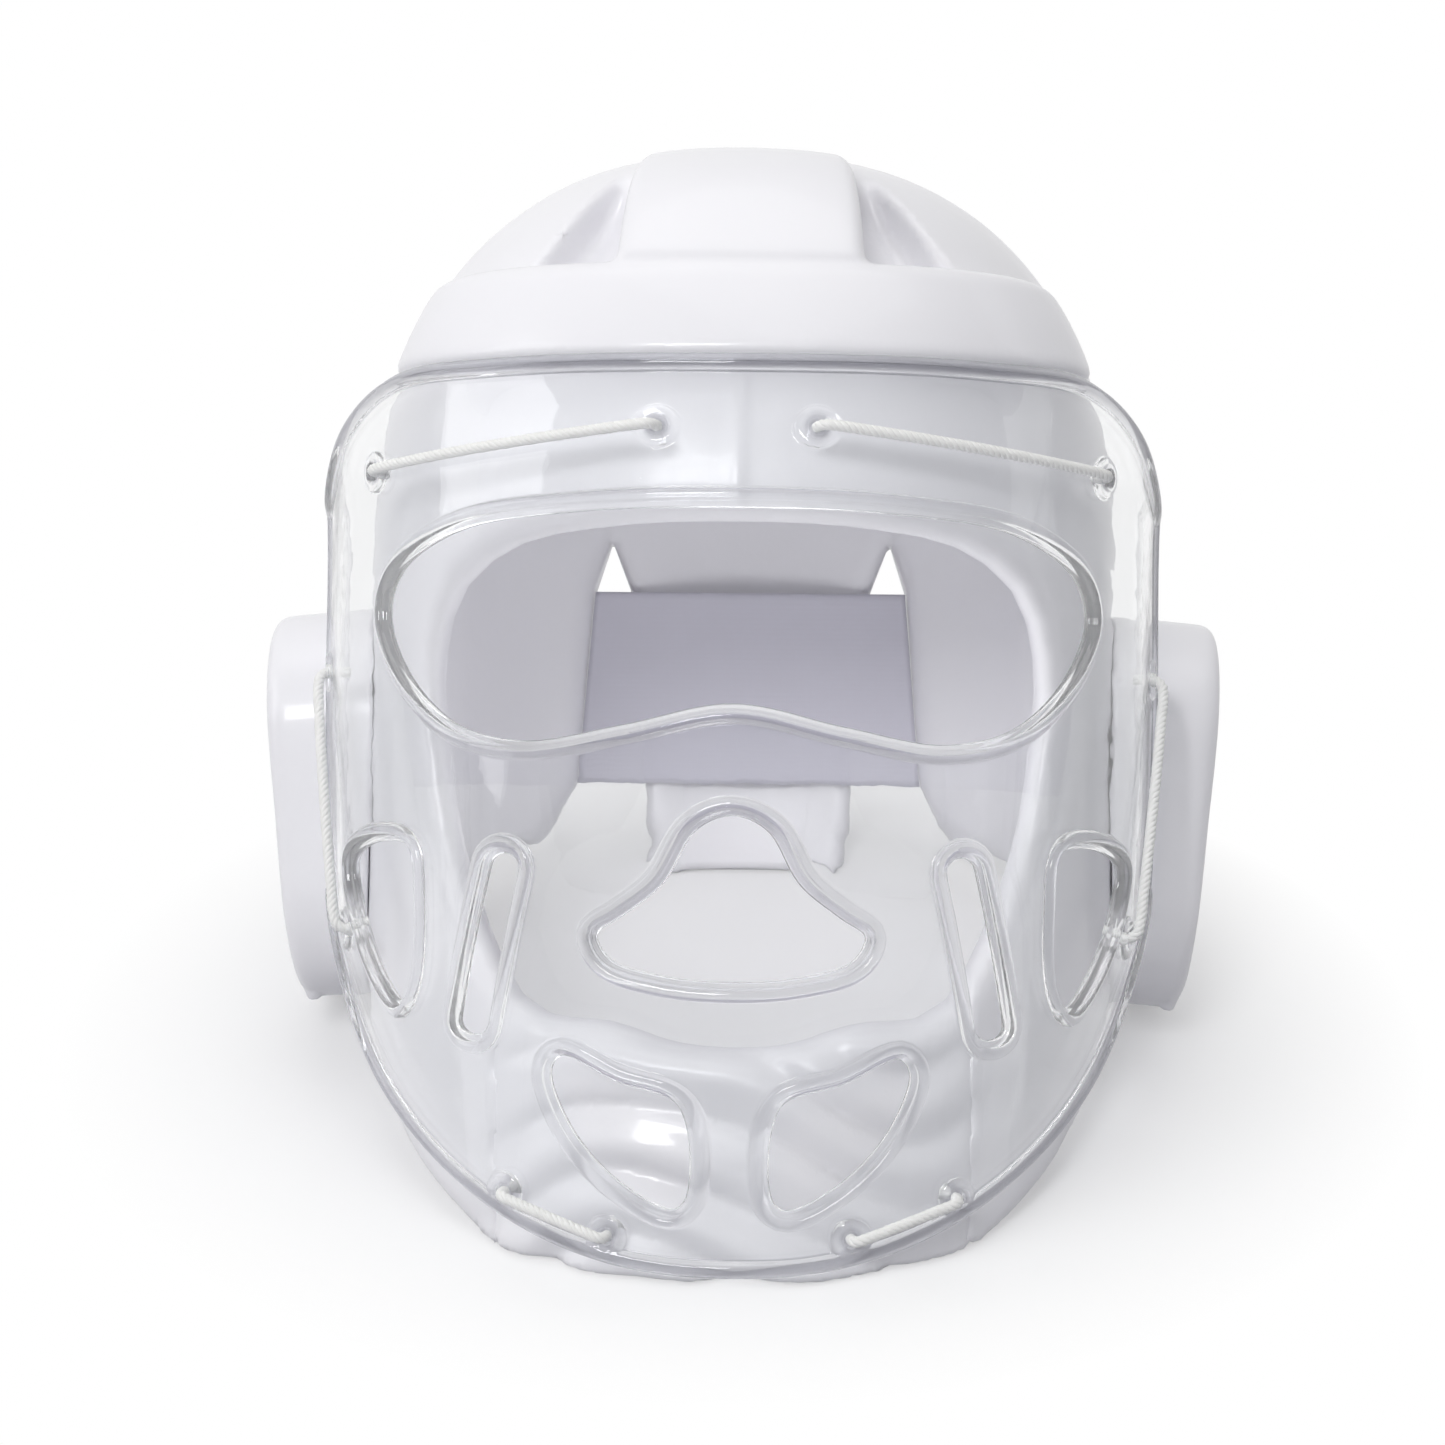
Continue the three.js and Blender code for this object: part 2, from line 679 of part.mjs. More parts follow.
// Clear shield.
function shieldPoint(share, z, outset) {
  const half = SHIELD_HALF_WIDTH * sectionAt(SHIELD_SECTIONS, z, "half") + outset;
  const front = SHIELD_FRONT * sectionAt(SHIELD_SECTIONS, z, "front") + outset - SHIELD_EDGE;
  const turn = share * (Math.PI / 2);
  return new THREE.Vector3(
    half * signedPower(Math.sin(turn), 2 / SHIELD_POWER),
    -SHIELD_EDGE - front * Math.cos(turn) ** (2 / SHIELD_POWER),
    z,
  );
}

function shieldBody(outset) {
  const rings = SHIELD_SECTIONS.map((row) => {
    const ring = [];
    for (let step = 0; step <= SHIELD_STEPS; step++) {
      const share = -1 + (2 * step) / SHIELD_STEPS;
      ring.push(shieldPoint(share, row.z, outset));
    }
    ring.push(new THREE.Vector3(ring.at(-1).x, 0, row.z), new THREE.Vector3(ring[0].x, 0, row.z));
    return ring;
  });
  const middle = new THREE.Vector3(0, -SHIELD_EDGE, 0);
  return loft(
    rings,
    middle.clone().setZ(SHIELD_SECTIONS[0].z),
    middle.clone().setZ(SHIELD_SECTIONS.at(-1).z),
  );
}

// The point of the shield's outer face at a place in the front view, moved out by a distance.
function onShield(x, z, outset) {
  const half = SHIELD_HALF_WIDTH * sectionAt(SHIELD_SECTIONS, z, "half");
  const front = SHIELD_FRONT * sectionAt(SHIELD_SECTIONS, z, "front") - SHIELD_EDGE;
  const share = Math.min(0.995, Math.abs(x) / half);
  const depth = (1 - share ** SHIELD_POWER) ** (1 / SHIELD_POWER);
  const normal = new THREE.Vector3(
    share ** (SHIELD_POWER - 1) / half,
    -(depth ** (SHIELD_POWER - 1)) / front,
    0,
  ).normalize();
  return new THREE.Vector3(share * half, -SHIELD_EDGE - front * depth, z).addScaledVector(normal, outset);
}

function laceCurve(route) {
  const over = LACE_RADIUS + CLEARANCE;
  const place = (share, outset) =>
    onShield(
      THREE.MathUtils.lerp(route.from.x, route.to.x, share),
      THREE.MathUtils.lerp(route.from.z, route.to.z, share),
      outset,
    );
  const points = [place(0, -SHIELD_THICKNESS - LACE_RADIUS), place(0, over + BOSS_RAISE)];
  for (const share of LACE_SHARES) points.push(place(share, over + BOSS_RAISE));
  points.push(place(1, over + BOSS_RAISE), place(1, -SHIELD_THICKNESS - LACE_RADIUS));
  return new THREE.CatmullRomCurve3(points, false, "centripetal");
}

function laceTube(route) {
  const shape = new THREE.Shape();
  for (let side = 0; side < LACE_SIDES; side++) {
    const angle = (2 * Math.PI * side) / LACE_SIDES;
    const x = LACE_RADIUS * Math.cos(angle);
    const y = LACE_RADIUS * Math.sin(angle);
    if (side === 0) shape.moveTo(x, y);
    else shape.lineTo(x, y);
  }
  const geometry = new THREE.ExtrudeGeometry(shape, {
    steps: LACE_STEPS,
    extrudePath: laceCurve(route),
  });
  return solidOf(geometry);
}

// A short round bar square to the shield, from one depth below its outer face to another above it.
function shieldBar(place, radius, low, high) {
  const inner = onShield(place.x, place.z, low);
  const outer = onShield(place.x, place.z, high);
  const along = outer.clone().sub(inner);
  const geometry = new THREE.CylinderGeometry(radius, radius, along.length(), 8);
  geometry.applyQuaternion(
    new THREE.Quaternion().setFromUnitVectors(new THREE.Vector3(0, 1, 0), along.normalize()),
  );
  geometry.translate((inner.x + outer.x) / 2, (inner.y + outer.y) / 2, (inner.z + outer.z) / 2);
  return solidOf(geometry);
}

function shieldOpenings() {
  const sideVent = roundOutline(
    ventCorners(SIDE_VENT_OUTLINE, SIDE_VENT_INNER, SIDE_VENT_WIDTH, SIDE_VENT_TOP, SIDE_VENT_HEIGHT),
    SIDE_VENT_STEPS,
  );
  const chinVent = roundOutline(
    ventCorners(CHIN_VENT_OUTLINE, CHIN_VENT_INNER, CHIN_VENT_WIDTH, CHIN_VENT_TOP, CHIN_VENT_HEIGHT),
    CHIN_VENT_STEPS,
  );
  const slot = stadium(SLOT_TOP, SLOT_BOTTOM, SLOT_RADIUS, SLOT_STEPS);
  const paired = [sideVent, chinVent, slot];
  const flipped = paired.map((outline) => outline.map((point) => new THREE.Vector2(-point.x, point.y)));
  return [
    roundOutline(symmetricCorners(EYE_OUTLINE, EYE_HALF_WIDTH, EYE_TOP, EYE_HEIGHT), EYE_STEPS),
    roundOutline(symmetricCorners(NOSE_OUTLINE, NOSE_HALF_WIDTH, NOSE_TOP, NOSE_HEIGHT), NOSE_STEPS),
    ...paired,
    ...flipped,
  ];
}

function faceShield() {
  const outside = shieldBody(0);
  const inside = shieldBody(-SHIELD_THICKNESS);
  const raised = shieldBody(BEAD_RAISE).subtract(inside);
  const outline = roundOutline(
    symmetricCorners(SHIELD_OUTLINE, SHIELD_HALF_WIDTH, SHIELD_TOP, SHIELD_HEIGHT),
    SHIELD_OUTLINE_STEPS,
  );
  const whole = frontPrism(outline, -FAR, -SHIELD_EDGE);
  const middle = frontPrism(grown(outline, -RIM_WIDTH), -FAR, -SHIELD_EDGE - RIM_WIDTH);
  const openings = shieldOpenings();
  let beads = whole.subtract(middle);
  for (const opening of openings) {
    beads = beads.add(frontPrism(grown(opening, BEAD_WIDTH), -FAR, -SHIELD_EDGE).intersect(whole));
  }
  let shield = outside.subtract(inside).intersect(whole).add(raised.intersect(beads));
  const lipSlab = block(
    new THREE.Vector3(-SHIELD_HALF_WIDTH * LIP_SHARE, -FAR, SHIELD_TOP - LIP_HEIGHT),
    new THREE.Vector3(SHIELD_HALF_WIDTH * LIP_SHARE, -SHIELD_EDGE, SHIELD_TOP),
  );
  shield = shield.add(outside.intersect(lipSlab).intersect(whole).subtract(skinClear));
  for (const place of [LACE_ROUTES.top.from, LACE_ROUTES.top.to]) {
    shield = shield.add(bothSides(shieldBar(place, BOSS_RADIUS, -SHIELD_THICKNESS / 2, BOSS_RAISE)));
  }
  for (const opening of openings) shield = shield.subtract(frontPrism(opening, -FAR, 0));
  for (const route of Object.values(LACE_ROUTES)) {
    for (const place of [route.from, route.to]) {
      const hole = shieldBar(place, LACE_HOLE_RADIUS, -SHIELD_THICKNESS * 2, SHIELD_THICKNESS * 2);
      shield = shield.subtract(bothSides(hole));
    }
  }
  return shield.subtract(skinClear);
}

// Assembly.
const headgear = new THREE.Group();
headgear.name = "sparring_headgear";
const worn = new THREE.Group();
headgear.add(worn);

worn.add(meshOf("foam_shell", shell, FOAM_WHITE));
worn.add(meshOf("chin_guard", chinGuard, FOAM_WHITE));
worn.add(meshOf("brow_pad", browPad(), FOAM_WHITE));
worn.add(meshOf("ear_pad_right", earPad(), FOAM_WHITE));
worn.add(meshOf("ear_pad_left", mirrored(earPad()), FOAM_WHITE));
worn.add(meshOf("back_band", backBand(), ELASTIC_WHITE));
worn.add(meshOf("face_shield", faceShield(), CLEAR_PLASTIC));
for (const [name, route] of Object.entries(LACE_ROUTES)) {
  const lace = laceTube(route);
  worn.add(meshOf(`lace_${name}_right`, lace, LACE_WHITE));
  worn.add(meshOf(`lace_${name}_left`, mirrored(lace), LACE_WHITE));
}

// Laid back on its chin guard and neck flap, with the middle of its footprint at the origin.
worn.rotation.x = -LAID_BACK;
worn.updateMatrixWorld(true);
const bounds = new THREE.Box3().setFromObject(worn, true);
worn.position.set(0, -(bounds.min.y + bounds.max.y) / 2, REST_LEVEL);

export default headgear;
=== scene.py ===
import math

import bpy
import numpy as np
from bpy.props import FloatProperty, FloatVectorProperty, IntProperty, PointerProperty
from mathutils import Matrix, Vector
from mathutils.geometry import delaunay_2d_cdt


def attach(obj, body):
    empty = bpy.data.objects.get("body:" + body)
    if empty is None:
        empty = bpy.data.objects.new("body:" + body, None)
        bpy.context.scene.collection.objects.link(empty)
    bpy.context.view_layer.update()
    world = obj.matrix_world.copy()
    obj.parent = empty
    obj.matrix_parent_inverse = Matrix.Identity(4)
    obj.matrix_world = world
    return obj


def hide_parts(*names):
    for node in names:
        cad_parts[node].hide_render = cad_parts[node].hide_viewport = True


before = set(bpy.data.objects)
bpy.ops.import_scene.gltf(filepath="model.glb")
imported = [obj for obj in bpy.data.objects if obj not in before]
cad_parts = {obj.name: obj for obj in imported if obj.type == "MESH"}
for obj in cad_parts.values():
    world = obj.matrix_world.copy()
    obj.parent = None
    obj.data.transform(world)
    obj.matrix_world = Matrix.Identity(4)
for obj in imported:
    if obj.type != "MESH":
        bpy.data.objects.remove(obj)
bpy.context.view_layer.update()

bl_info = {
    "name": "Sparring headgear with face shield",
    "version": (1, 0, 0),
    "blender": (4, 5, 0),
    "location": "View3D > Sidebar > Headgear",
    "description": "Builds a dipped foam sparring headgear with a clear laced face shield",
    "category": "Object",
}

# Shapes are worked out in the worn frame, in millimetres: the ear centre is the origin, x runs to the
# right seen from the front, -y to the front and z up. The finished pieces lie in the row frame, in metres.
MM = 0.001
LAID_BACK = math.radians(23)
EAR_CENTRE = np.array((0.0, 0.0103412, 0.0825))
CLEARANCE = 0.3

# Foam shell.
SHELL_HALF_WIDTH = 101.0
SHELL_FRONT = 108.0
SHELL_BACK = 123.0
BODY_DEPTH = 165.0
CROWN_BASE = 40.0
CROWN_HEIGHT = 114.0
CROWN_POWER = 2.35
PLAN_POWER = 2.4
FOAM = 18.0

# Recess on both sides of the crown pad, from the brow band up to the bulge of the dome.
RECESS_DEPTH = 11.0
RECESS_WIDTH = 28.0
RECESS_FLAT_SHARE = 0.55
RECESS_START = 92.0
RECESS_FULL = 108.0
RECESS_NARROWING = 0.85
RECESS_FADE_SHARE = 0.72
RECESS_END_SHARE = 0.92
RECESS_FRONT_SHARE = 0.45

# Raised brow band and crown pad.
PAD_RAISE = 8.0
PAD_TAPER = 6.5
PAD_TAPER_START = 0.75
PAD_TAPER_END = 0.3
PAD_SINK = 2.4
BROW_BOTTOM = 88.0
BROW_TOP = 113.0
BROW_END = 47.0
CROWN_PAD_BASE_HALF = 32.0
CROWN_PAD_TOP_HALF = 21.5
CROWN_PAD_REAR_Z = 62.0
PAD_JOIN_ROUND = 3.0
PAD_JOIN_LAP = 1.0

# Face opening and chin guard.
FACE_HALF_WIDTH = 75.0
FACE_TOP = 49.0
FACE_BOTTOM = -79.0
CHIN_HALF_WIDTH = 57.0
CHIN_REAR_SHARE = 0.45
CHIN_TOP_SHARE = 0.7
CHIN_SEAM_ROUND = 0.5
CHIN_LAP = 2.5
CHIN_LAP_SINK = 0.5
CHIN_HUMP = 3.0
CHIN_HUMP_X = 29.0
CHIN_HUMP_WIDTH = 12.0
CHIN_HUMP_DEPTHS = (50.0, 72.0)
CHIN_LAP_START = 0.5

# Rounding of the foam at the ear holes and where it rests, and in the rear gaps as a share of the edges'.
SMALL_ROUND = 2.0
REAR_ROUND_SHARE = 0.7

# Faint moulding line on the forehead.
SEAM_RAISE = 0.5
SEAM_HALF_WIDTH = 1.6
SEAM_FADE = 4.0

# Heights of the slow and the quick waves that a dipped skin has.
SKIN_SLOW = 0.28
SKIN_QUICK = 0.1

# Folds over the chin: their crease, spacing, bend and ripple, and where they start and fade.
FOLD_CREASE = 1.3
FOLD_LEVEL = 0.5
FOLD_SPACING = 5.4
FOLD_BEND = 9.0
FOLD_BEND_SHIFT = 42.0
FOLD_BEND_LENGTH = 17.0
FOLD_WANDER = 2.5
FOLD_SLANT = 0.12
FOLD_RIPPLE = 0.25
FOLD_RIPPLE_SPACING = 2.2
FOLD_START_DEPTHS = (66.0, 84.0)
FOLD_END_DEPTHS = (136.0, 150.0)
FOLD_FRONT = (52.0, 74.0)
FOLD_SIDES = (46.0, 64.0)
FOLD_SIDE_LOSS = 0.9

# Neck flap, side panels and back band.
FLAP_HALF_WIDTH = 32.0
FLAP_TOP_HALF = 37.0
REAR_GAP_TOP = 56.0
PANEL_EDGE = 53.0
PANEL_LEAN = 5.0
PANEL_CORNER_OUT = 8.0
PANEL_CORNER_DROP = 15.0
PANEL_FLARE = 25.0
REAR_CUT_SHARE = 0.4
BAND_TOP = 40.0
BAND_HEIGHT = 59.0
BAND_THICKNESS = 3.0
BAND_BOW = 1.5
BAND_COLUMNS = 60
BAND_ROWS = 30
BAND_HEM = 2.2
BAND_HEM_SHARE = 0.25
BAND_SWELL_SHARE = 0.35

# Ear pads.
EAR_PAD_WIDTH = 90.0
EAR_PAD_HEIGHT = 105.0
EAR_PAD_Y = 8.0
EAR_PAD_Z = -21.5
EAR_PAD_DROP = 1.0
EAR_PAD_REACH = 124.0
EAR_PAD_LEAN = math.radians(5)
EAR_PAD_CORNER = 31.0
EAR_PAD_ROUND_SHARE = 0.55
EAR_PAD_SEAT_ROUND = 1.0
EAR_HOLE_RADIUS = 11.0
EAR_HOLE_ROUND = 4.0

# Drip of the skin under each ear pad.
DRIP_PLACE = (116.0, -14.0, -75.0)
DRIP_RADIUS = 2.0
DRIP_ROUND = 1.5

# Clear shield.
SHIELD_HALF_WIDTH = 107.0
SHIELD_FRONT = 131.0
SHIELD_EDGE = 41.0
SHIELD_TOP = 87.0
SHIELD_DEPTH = 131.0
SHIELD_HEIGHT = SHIELD_TOP + SHIELD_DEPTH
SHIELD_FLARE = 20.0
SHIELD_POWER = 2.1
SHIELD_WRAP = 98.0
EYE_HALF_WIDTH = 87.0
EYE_TOP = 52.0
EYE_HEIGHT = 58.0
NOSE_HALF_WIDTH = 33.0
NOSE_TOP = -0.1565 * SHIELD_DEPTH
NOSE_HEIGHT = 0.317 * SHIELD_DEPTH
SLOT_RADIUS = 4.7
SLOT_TOP = (54.5, -0.267 * SHIELD_DEPTH)
SLOT_BOTTOM = (62.0, -0.55 * SHIELD_DEPTH)
SIDE_VENT = {"inner": 77.0, "width": 19.0, "top": -0.2215 * SHIELD_DEPTH, "height": 0.313 * SHIELD_DEPTH}
CHIN_VENT = {"inner": 9.0, "width": 35.0, "top": -0.5955 * SHIELD_DEPTH, "height": 0.294 * SHIELD_DEPTH}
LACE_HOLE_RADIUS = 1.9
LACE_HOLE_SIDES = 16
BOSS_WIDTH = 3.4
BOSS_RAISE_SHARE = 0.75

# Rim of the shield as shares of the bead, and the room between beads and the plain sheet.
RIM_WIDTH_SHARE = 1.1
RIM_RAISE_SHARE = 1.15
RIM_ROOM_SHARE = 1.27
BEAD_ROOM_SHARE = 1.15
SPOT_MARGIN_SHARE = 0.45
BEAD_ROWS = (0.04, 0.14, 0.3, 0.5, 0.7, 0.86, 0.96, 1.0, BEAD_ROOM_SHARE)
EDGE_ANGLES = (55, 20, -20, -55)

# Spacing of points on the outlines.
FACE_STEP = 9.0
RIM_CORNER_STEP = 1.0
OPENING_CORNER_STEP = 1.5
VENT_CORNER_STEP = 1.2
OUTLINE_STEP = 1.6
RIM_STEP_SHARE = 1.4
RIM_SMOOTHING = 4

# Painted shade on the plastic, standing in for the dark refraction at its edges and the shadow in the lace
# holes: how strong it is in the beads, and where it fades at the rim and the lace holes.
BEAD_PAINTED_SHADE = 0.3
RIM_PAINTED_SHADE_FADE = (0.05, 0.3)
HOLE_PAINTED_SHADE_FADE = (0.5, 1.4)

# Sections of the foam body: height, and shares of the half width, front and back.
BODY_SECTIONS = np.array((
    (-BODY_DEPTH, 0.88, 0.95, 0.88),
    (-0.77 * BODY_DEPTH, 0.95, 1.0, 0.92),
    (-0.491 * BODY_DEPTH, 1.0, 1.0, 0.95),
    (-0.182 * BODY_DEPTH, 1.0, 0.98, 0.98),
    (0.25 * CROWN_BASE, 1.0, 0.99, 1.0),
    (CROWN_BASE, 1.0, 1.0, 1.0),
))

# Lower edge of the foam from the side: shares of the front or back reach, and of the body depth.
LOWER_EDGE = (
    (-1.2 * SHELL_FRONT, -0.933 * BODY_DEPTH),
    (-0.83 * SHELL_FRONT, -0.873 * BODY_DEPTH),
    (-0.79 * SHELL_FRONT, -0.77 * BODY_DEPTH),
    (-0.56 * SHELL_FRONT, -0.636 * BODY_DEPTH),
    (-0.32 * SHELL_FRONT, -0.491 * BODY_DEPTH),
    (0, -0.37 * BODY_DEPTH),
    (0.33 * SHELL_BACK, -0.273 * BODY_DEPTH),
    (0.6 * SHELL_BACK, -0.23 * BODY_DEPTH),
    (1.2 * SHELL_BACK, -0.23 * BODY_DEPTH),
)

# Right half of each symmetric outline: shares of its half width, and of its height below its top.
FACE_OUTLINE = (
    (0, 0), (0.42, 0.01), (0.74, 0.045), (0.93, 0.13), (1, 0.27),
    (0.98, 0.44), (0.9, 0.66), (0.68, 0.92), (0.42, 0.975), (0, 1),
)
EYE_OUTLINE = (
    (0, 0), (0.45, 0.02), (0.78, 0.09), (0.96, 0.26), (1, 0.46),
    (0.93, 0.72), (0.78, 0.93), (0.58, 1), (0.3, 0.93), (0, 0.84),
)
NOSE_OUTLINE = ((0, 0), (0.28, 0.09), (0.52, 0.4), (0.8, 0.58), (1, 0.7), (0.9, 0.87), (0.5, 0.97), (0, 1))
SHIELD_OUTLINE = (
    (0, 0), (0.56, 0.002), (0.8, 0.012), (0.93, 0.06), (1.0, 0.14), (1.06, 0.26), (1.06, 0.45),
    (1.0, 0.58), (0.94, 0.68), (0.83, 0.8), (0.68, 0.885), (0.48, 0.95), (0.24, 0.99), (0, 1),
)

# Whole outlines of the right-hand vents: shares of their width from the inner side, and of their height.
SIDE_VENT_OUTLINE = (
    (0.12, 0.02), (0.6, 0), (1, 0.12), (0.94, 0.42), (0.55, 0.85), (0.25, 1), (0.06, 0.85), (0, 0.4),
)
CHIN_VENT_OUTLINE = (
    (0.06, 0.3), (0.5, 0.15), (0.9, 0), (1, 0.12), (0.85, 0.5), (0.5, 0.84), (0.12, 1), (0, 0.9),
)

# Sections of the shield: height, and shares of the half width and of the front.
SHIELD_SECTIONS = np.array((
    (-SHIELD_DEPTH - SHIELD_FLARE, 0.86, 0.86),
    (-SHIELD_DEPTH, 0.9, 0.915),
    (-0.763 * SHIELD_DEPTH, 0.94, 0.955),
    (-0.458 * SHIELD_DEPTH, 0.98, 0.99),
    (-0.076 * SHIELD_DEPTH, 1, 1),
    (0.46 * SHIELD_TOP, 1, 0.975),
    (SHIELD_TOP, 1, 0.9),
    (SHIELD_TOP + SHIELD_FLARE, 0.98, 0.85),
))

# Lace routes over the right half of the shield: shares of its half width and of its height.
LACE_ROUTES = {
    "top": ((0.178, 0.078), (0.841, 0.119)),
    "side": ((0.9907, 0.344), (0.916, 0.642)),
    "bottom": ((0.271, 0.9587), (0.505, 0.9174)),
}
LACE_END_DEPTH = 3.2
LACE_TURN_SHARE = 0.8
LACE_SHARES = (0, 0, 0.02, 0.06, 0.15, 0.3, 0.5, 0.7, 0.85, 0.94, 0.98, 1, 1)
STRAND_SWING_SHARE = 0.5
STRAND_RADIUS_SHARE = 0.52
STRAND_SIDES = 6

# Camera and small inner light in the worn frame, and the point that the lights face in the row frame.
CAMERA_PLACE = (15.0, -831.9, 0.0)
CAMERA_AIM = (-5.7, 0.0, 0.0)
CAMERA_LENS = 75.0
CAMERA_SENSOR = 36.0
INNER_LIGHT_PLACE = (0.0, -50.0, -55.0)
LIGHT_AIM = Vector((0.0, 0.0, 0.12))
FLOOR_HALF = 3.0
FLOOR_DROP = 0.0004
WHITE = (1.0, 1.0, 1.0, 1.0)
DUSK = (0.45, 0.45, 0.47, 1.0)
DUSK_END = 0.42
WHITE_START = 0.62
SOFT_STRENGTH = 0.5


# Settings.
class FoamSettings(bpy.types.PropertyGroup):
    color: FloatVectorProperty(
        name="Vinyl colour", description="Colour of the dipped vinyl skin", subtype="COLOR",
        size=4, min=0.0, max=1.0, default=(0.845, 0.840, 0.866, 1.0),
    )
    edge_round: FloatProperty(
        name="Edge rounding", description="How far the dipped skin rounds the cut edges",
        subtype="DISTANCE", unit="LENGTH", default=0.009,
    )
    seam_round: FloatProperty(
        name="Seam rounding", description="Rounding where two foam pieces meet",
        subtype="DISTANCE", unit="LENGTH", default=0.004,
    )
    fold_depth: FloatProperty(
        name="Fold depth", description="Depth of the soft folds in the vinyl over the chin",
        subtype="DISTANCE", unit="LENGTH", default=0.0034,
    )
    shell_cell: FloatProperty(
        name="Shell mesh size", description="Size of the faces on the foam shell",
        subtype="DISTANCE", unit="LENGTH", default=0.0021,
    )
    pad_cell: FloatProperty(
        name="Pad mesh size", description="Size of the faces on the pads",
        subtype="DISTANCE", unit="LENGTH", default=0.0015,
    )


class ShieldSettings(bpy.types.PropertyGroup):
    color: FloatVectorProperty(
        name="Plastic tint", description="Colour of the clear plastic", subtype="COLOR",
        size=4, min=0.0, max=1.0, default=(0.985, 0.99, 0.992, 1.0),
    )
    # Colour of the painted shade at the rim, beads and lace holes, standing in for the dark refraction at
    # the plastic's edges and the shadow in the holes.
    painted_edge_shade_color: FloatVectorProperty(
        name="Edge tint", description="Colour of the plastic where it is seen edge on", subtype="COLOR",
        size=4, min=0.0, max=1.0, default=(0.58, 0.58, 0.61, 1.0),
    )
    straight_share: FloatProperty(
        name="Straight share", description="Share of the light that passes without being bent",
        subtype="FACTOR", min=0.0, max=1.0, default=0.1,
    )
    thickness: FloatProperty(
        name="Thickness", description="Wall thickness of the shield",
        subtype="DISTANCE", unit="LENGTH", default=0.0026,
    )
    bead_width: FloatProperty(
        name="Bead width", description="Width of the raised bead round each opening",
        subtype="DISTANCE", unit="LENGTH", default=0.0033,
    )
    bead_raise: FloatProperty(
        name="Bead height", description="Height of the raised bead over the sheet",
        subtype="DISTANCE", unit="LENGTH", default=0.0017,
    )
    mesh_step: FloatProperty(
        name="Mesh size", description="Size of the faces on the plain sheet",
        subtype="DISTANCE", unit="LENGTH", default=0.0034,
    )


class SoftSettings(bpy.types.PropertyGroup):
    lace_color: FloatVectorProperty(
        name="Lace colour", description="Colour of the braided laces", subtype="COLOR",
        size=4, min=0.0, max=1.0, default=(0.86, 0.86, 0.84, 1.0),
    )
    lace_radius: FloatProperty(
        name="Lace radius", description="Half the thickness of a lace",
        subtype="DISTANCE", unit="LENGTH", default=0.0014,
    )
    lace_strands: IntProperty(
        name="Strands", description="Strands in a lace", min=2, max=8, default=4,
    )
    lace_lay: FloatProperty(
        name="Lay", description="Length of lace in which a strand turns once",
        subtype="DISTANCE", unit="LENGTH", default=0.0062,
    )
    band_color: FloatVectorProperty(
        name="Band colour", description="Colour of the elastic back band", subtype="COLOR",
        size=4, min=0.0, max=1.0, default=(0.62, 0.61, 0.68, 1.0),
    )


class StageSettings(bpy.types.PropertyGroup):
    floor_color: FloatVectorProperty(
        name="Floor colour", description="Colour of the floor", subtype="COLOR",
        size=4, min=0.0, max=1.0, default=(0.93, 0.93, 0.94, 1.0),
    )
    floor_bounce: FloatVectorProperty(
        name="Floor bounce", description="Colour of the light that the floor throws back", subtype="COLOR",
        size=4, min=0.0, max=1.0, default=(0.42, 0.42, 0.45, 1.0),
    )
    # Painted light: the share of the white glow that the floor keeps under the object, lifting its shade
    # there.
    floor_glow: FloatProperty(
        name="Floor glow", description="Share of the floor under the object that stays white",
        subtype="FACTOR", min=0.0, max=1.0, default=0.3,
    )
    inner_power: FloatProperty(
        name="Inner light", description="Strength of the small light that lifts the inside",
        unit="POWER", default=0.085,
    )
    top_power: FloatProperty(
        name="Top light", description="Strength of the large light over the object",
        unit="POWER", default=3.7,
    )
    key_power: FloatProperty(
        name="Key light", description="Strength of the light at the viewer's left",
        unit="POWER", default=4.2,
    )
    fill_power: FloatProperty(
        name="Fill light", description="Strength of the light over the camera",
        unit="POWER", default=6.3,
    )


# Surfaces.
def smooth_step(value, start, end):
    share = np.clip((value - start) / (end - start), 0, 1)
    return share * share * (3 - 2 * share)


def signed_power(value, power):
    return np.sign(value) * np.abs(value) ** power


def blunt_max(first, second, radius):
    """The larger of two distances, rounded off where they meet."""
    overlap = np.maximum(radius - np.abs(first - second), 0) / radius
    return np.maximum(first, second) + overlap * overlap * radius / 4


def blunt_min(first, second, radius):
    return -blunt_max(-first, -second, radius)


def section_shares(z, rows, column):
    """A column of a section table at any height, on a smooth curve through its rows."""
    heights = rows[:, 0]
    shares = rows[:, column]
    slopes = np.gradient(shares, heights)
    row = np.clip(np.searchsorted(heights, z) - 1, 0, len(heights) - 2)
    span = heights[row + 1] - heights[row]
    t = np.clip((z - heights[row]) / span, 0, 1)
    start = (2 * t**3 - 3 * t**2 + 1) * shares[row] + (t**3 - 2 * t**2 + t) * span * slopes[row]
    end = (3 * t**2 - 2 * t**3) * shares[row + 1] + (t**3 - t**2) * span * slopes[row + 1]
    return start + end


def round_outline(corners, spacing):
    """Evenly spaced points of a closed smooth curve through the corners."""
    corners = np.array(corners, float)
    dense = []
    steps = 24
    count = len(corners)
    for index in range(count):
        p = [corners[(index + offset) % count] for offset in (-1, 0, 1, 2)]
        knots = [0.0]
        for before, after in zip(p, p[1:]):
            knots.append(knots[-1] + math.sqrt(max(np.linalg.norm(after - before), 1e-6)))
        for step in range(steps):
            t = knots[1] + (knots[2] - knots[1]) * step / steps
            a = [
                ((knots[k + 1] - t) * p[k] + (t - knots[k]) * p[k + 1]) / (knots[k + 1] - knots[k])
                for k in range(3)
            ]
            b = [
                ((knots[k + 2] - t) * a[k] + (t - knots[k]) * a[k + 1]) / (knots[k + 2] - knots[k])
                for k in range(2)
            ]
            dense.append(((knots[2] - t) * b[0] + (t - knots[1]) * b[1]) / (knots[2] - knots[1]))
    return even_loop(np.array(dense), spacing)


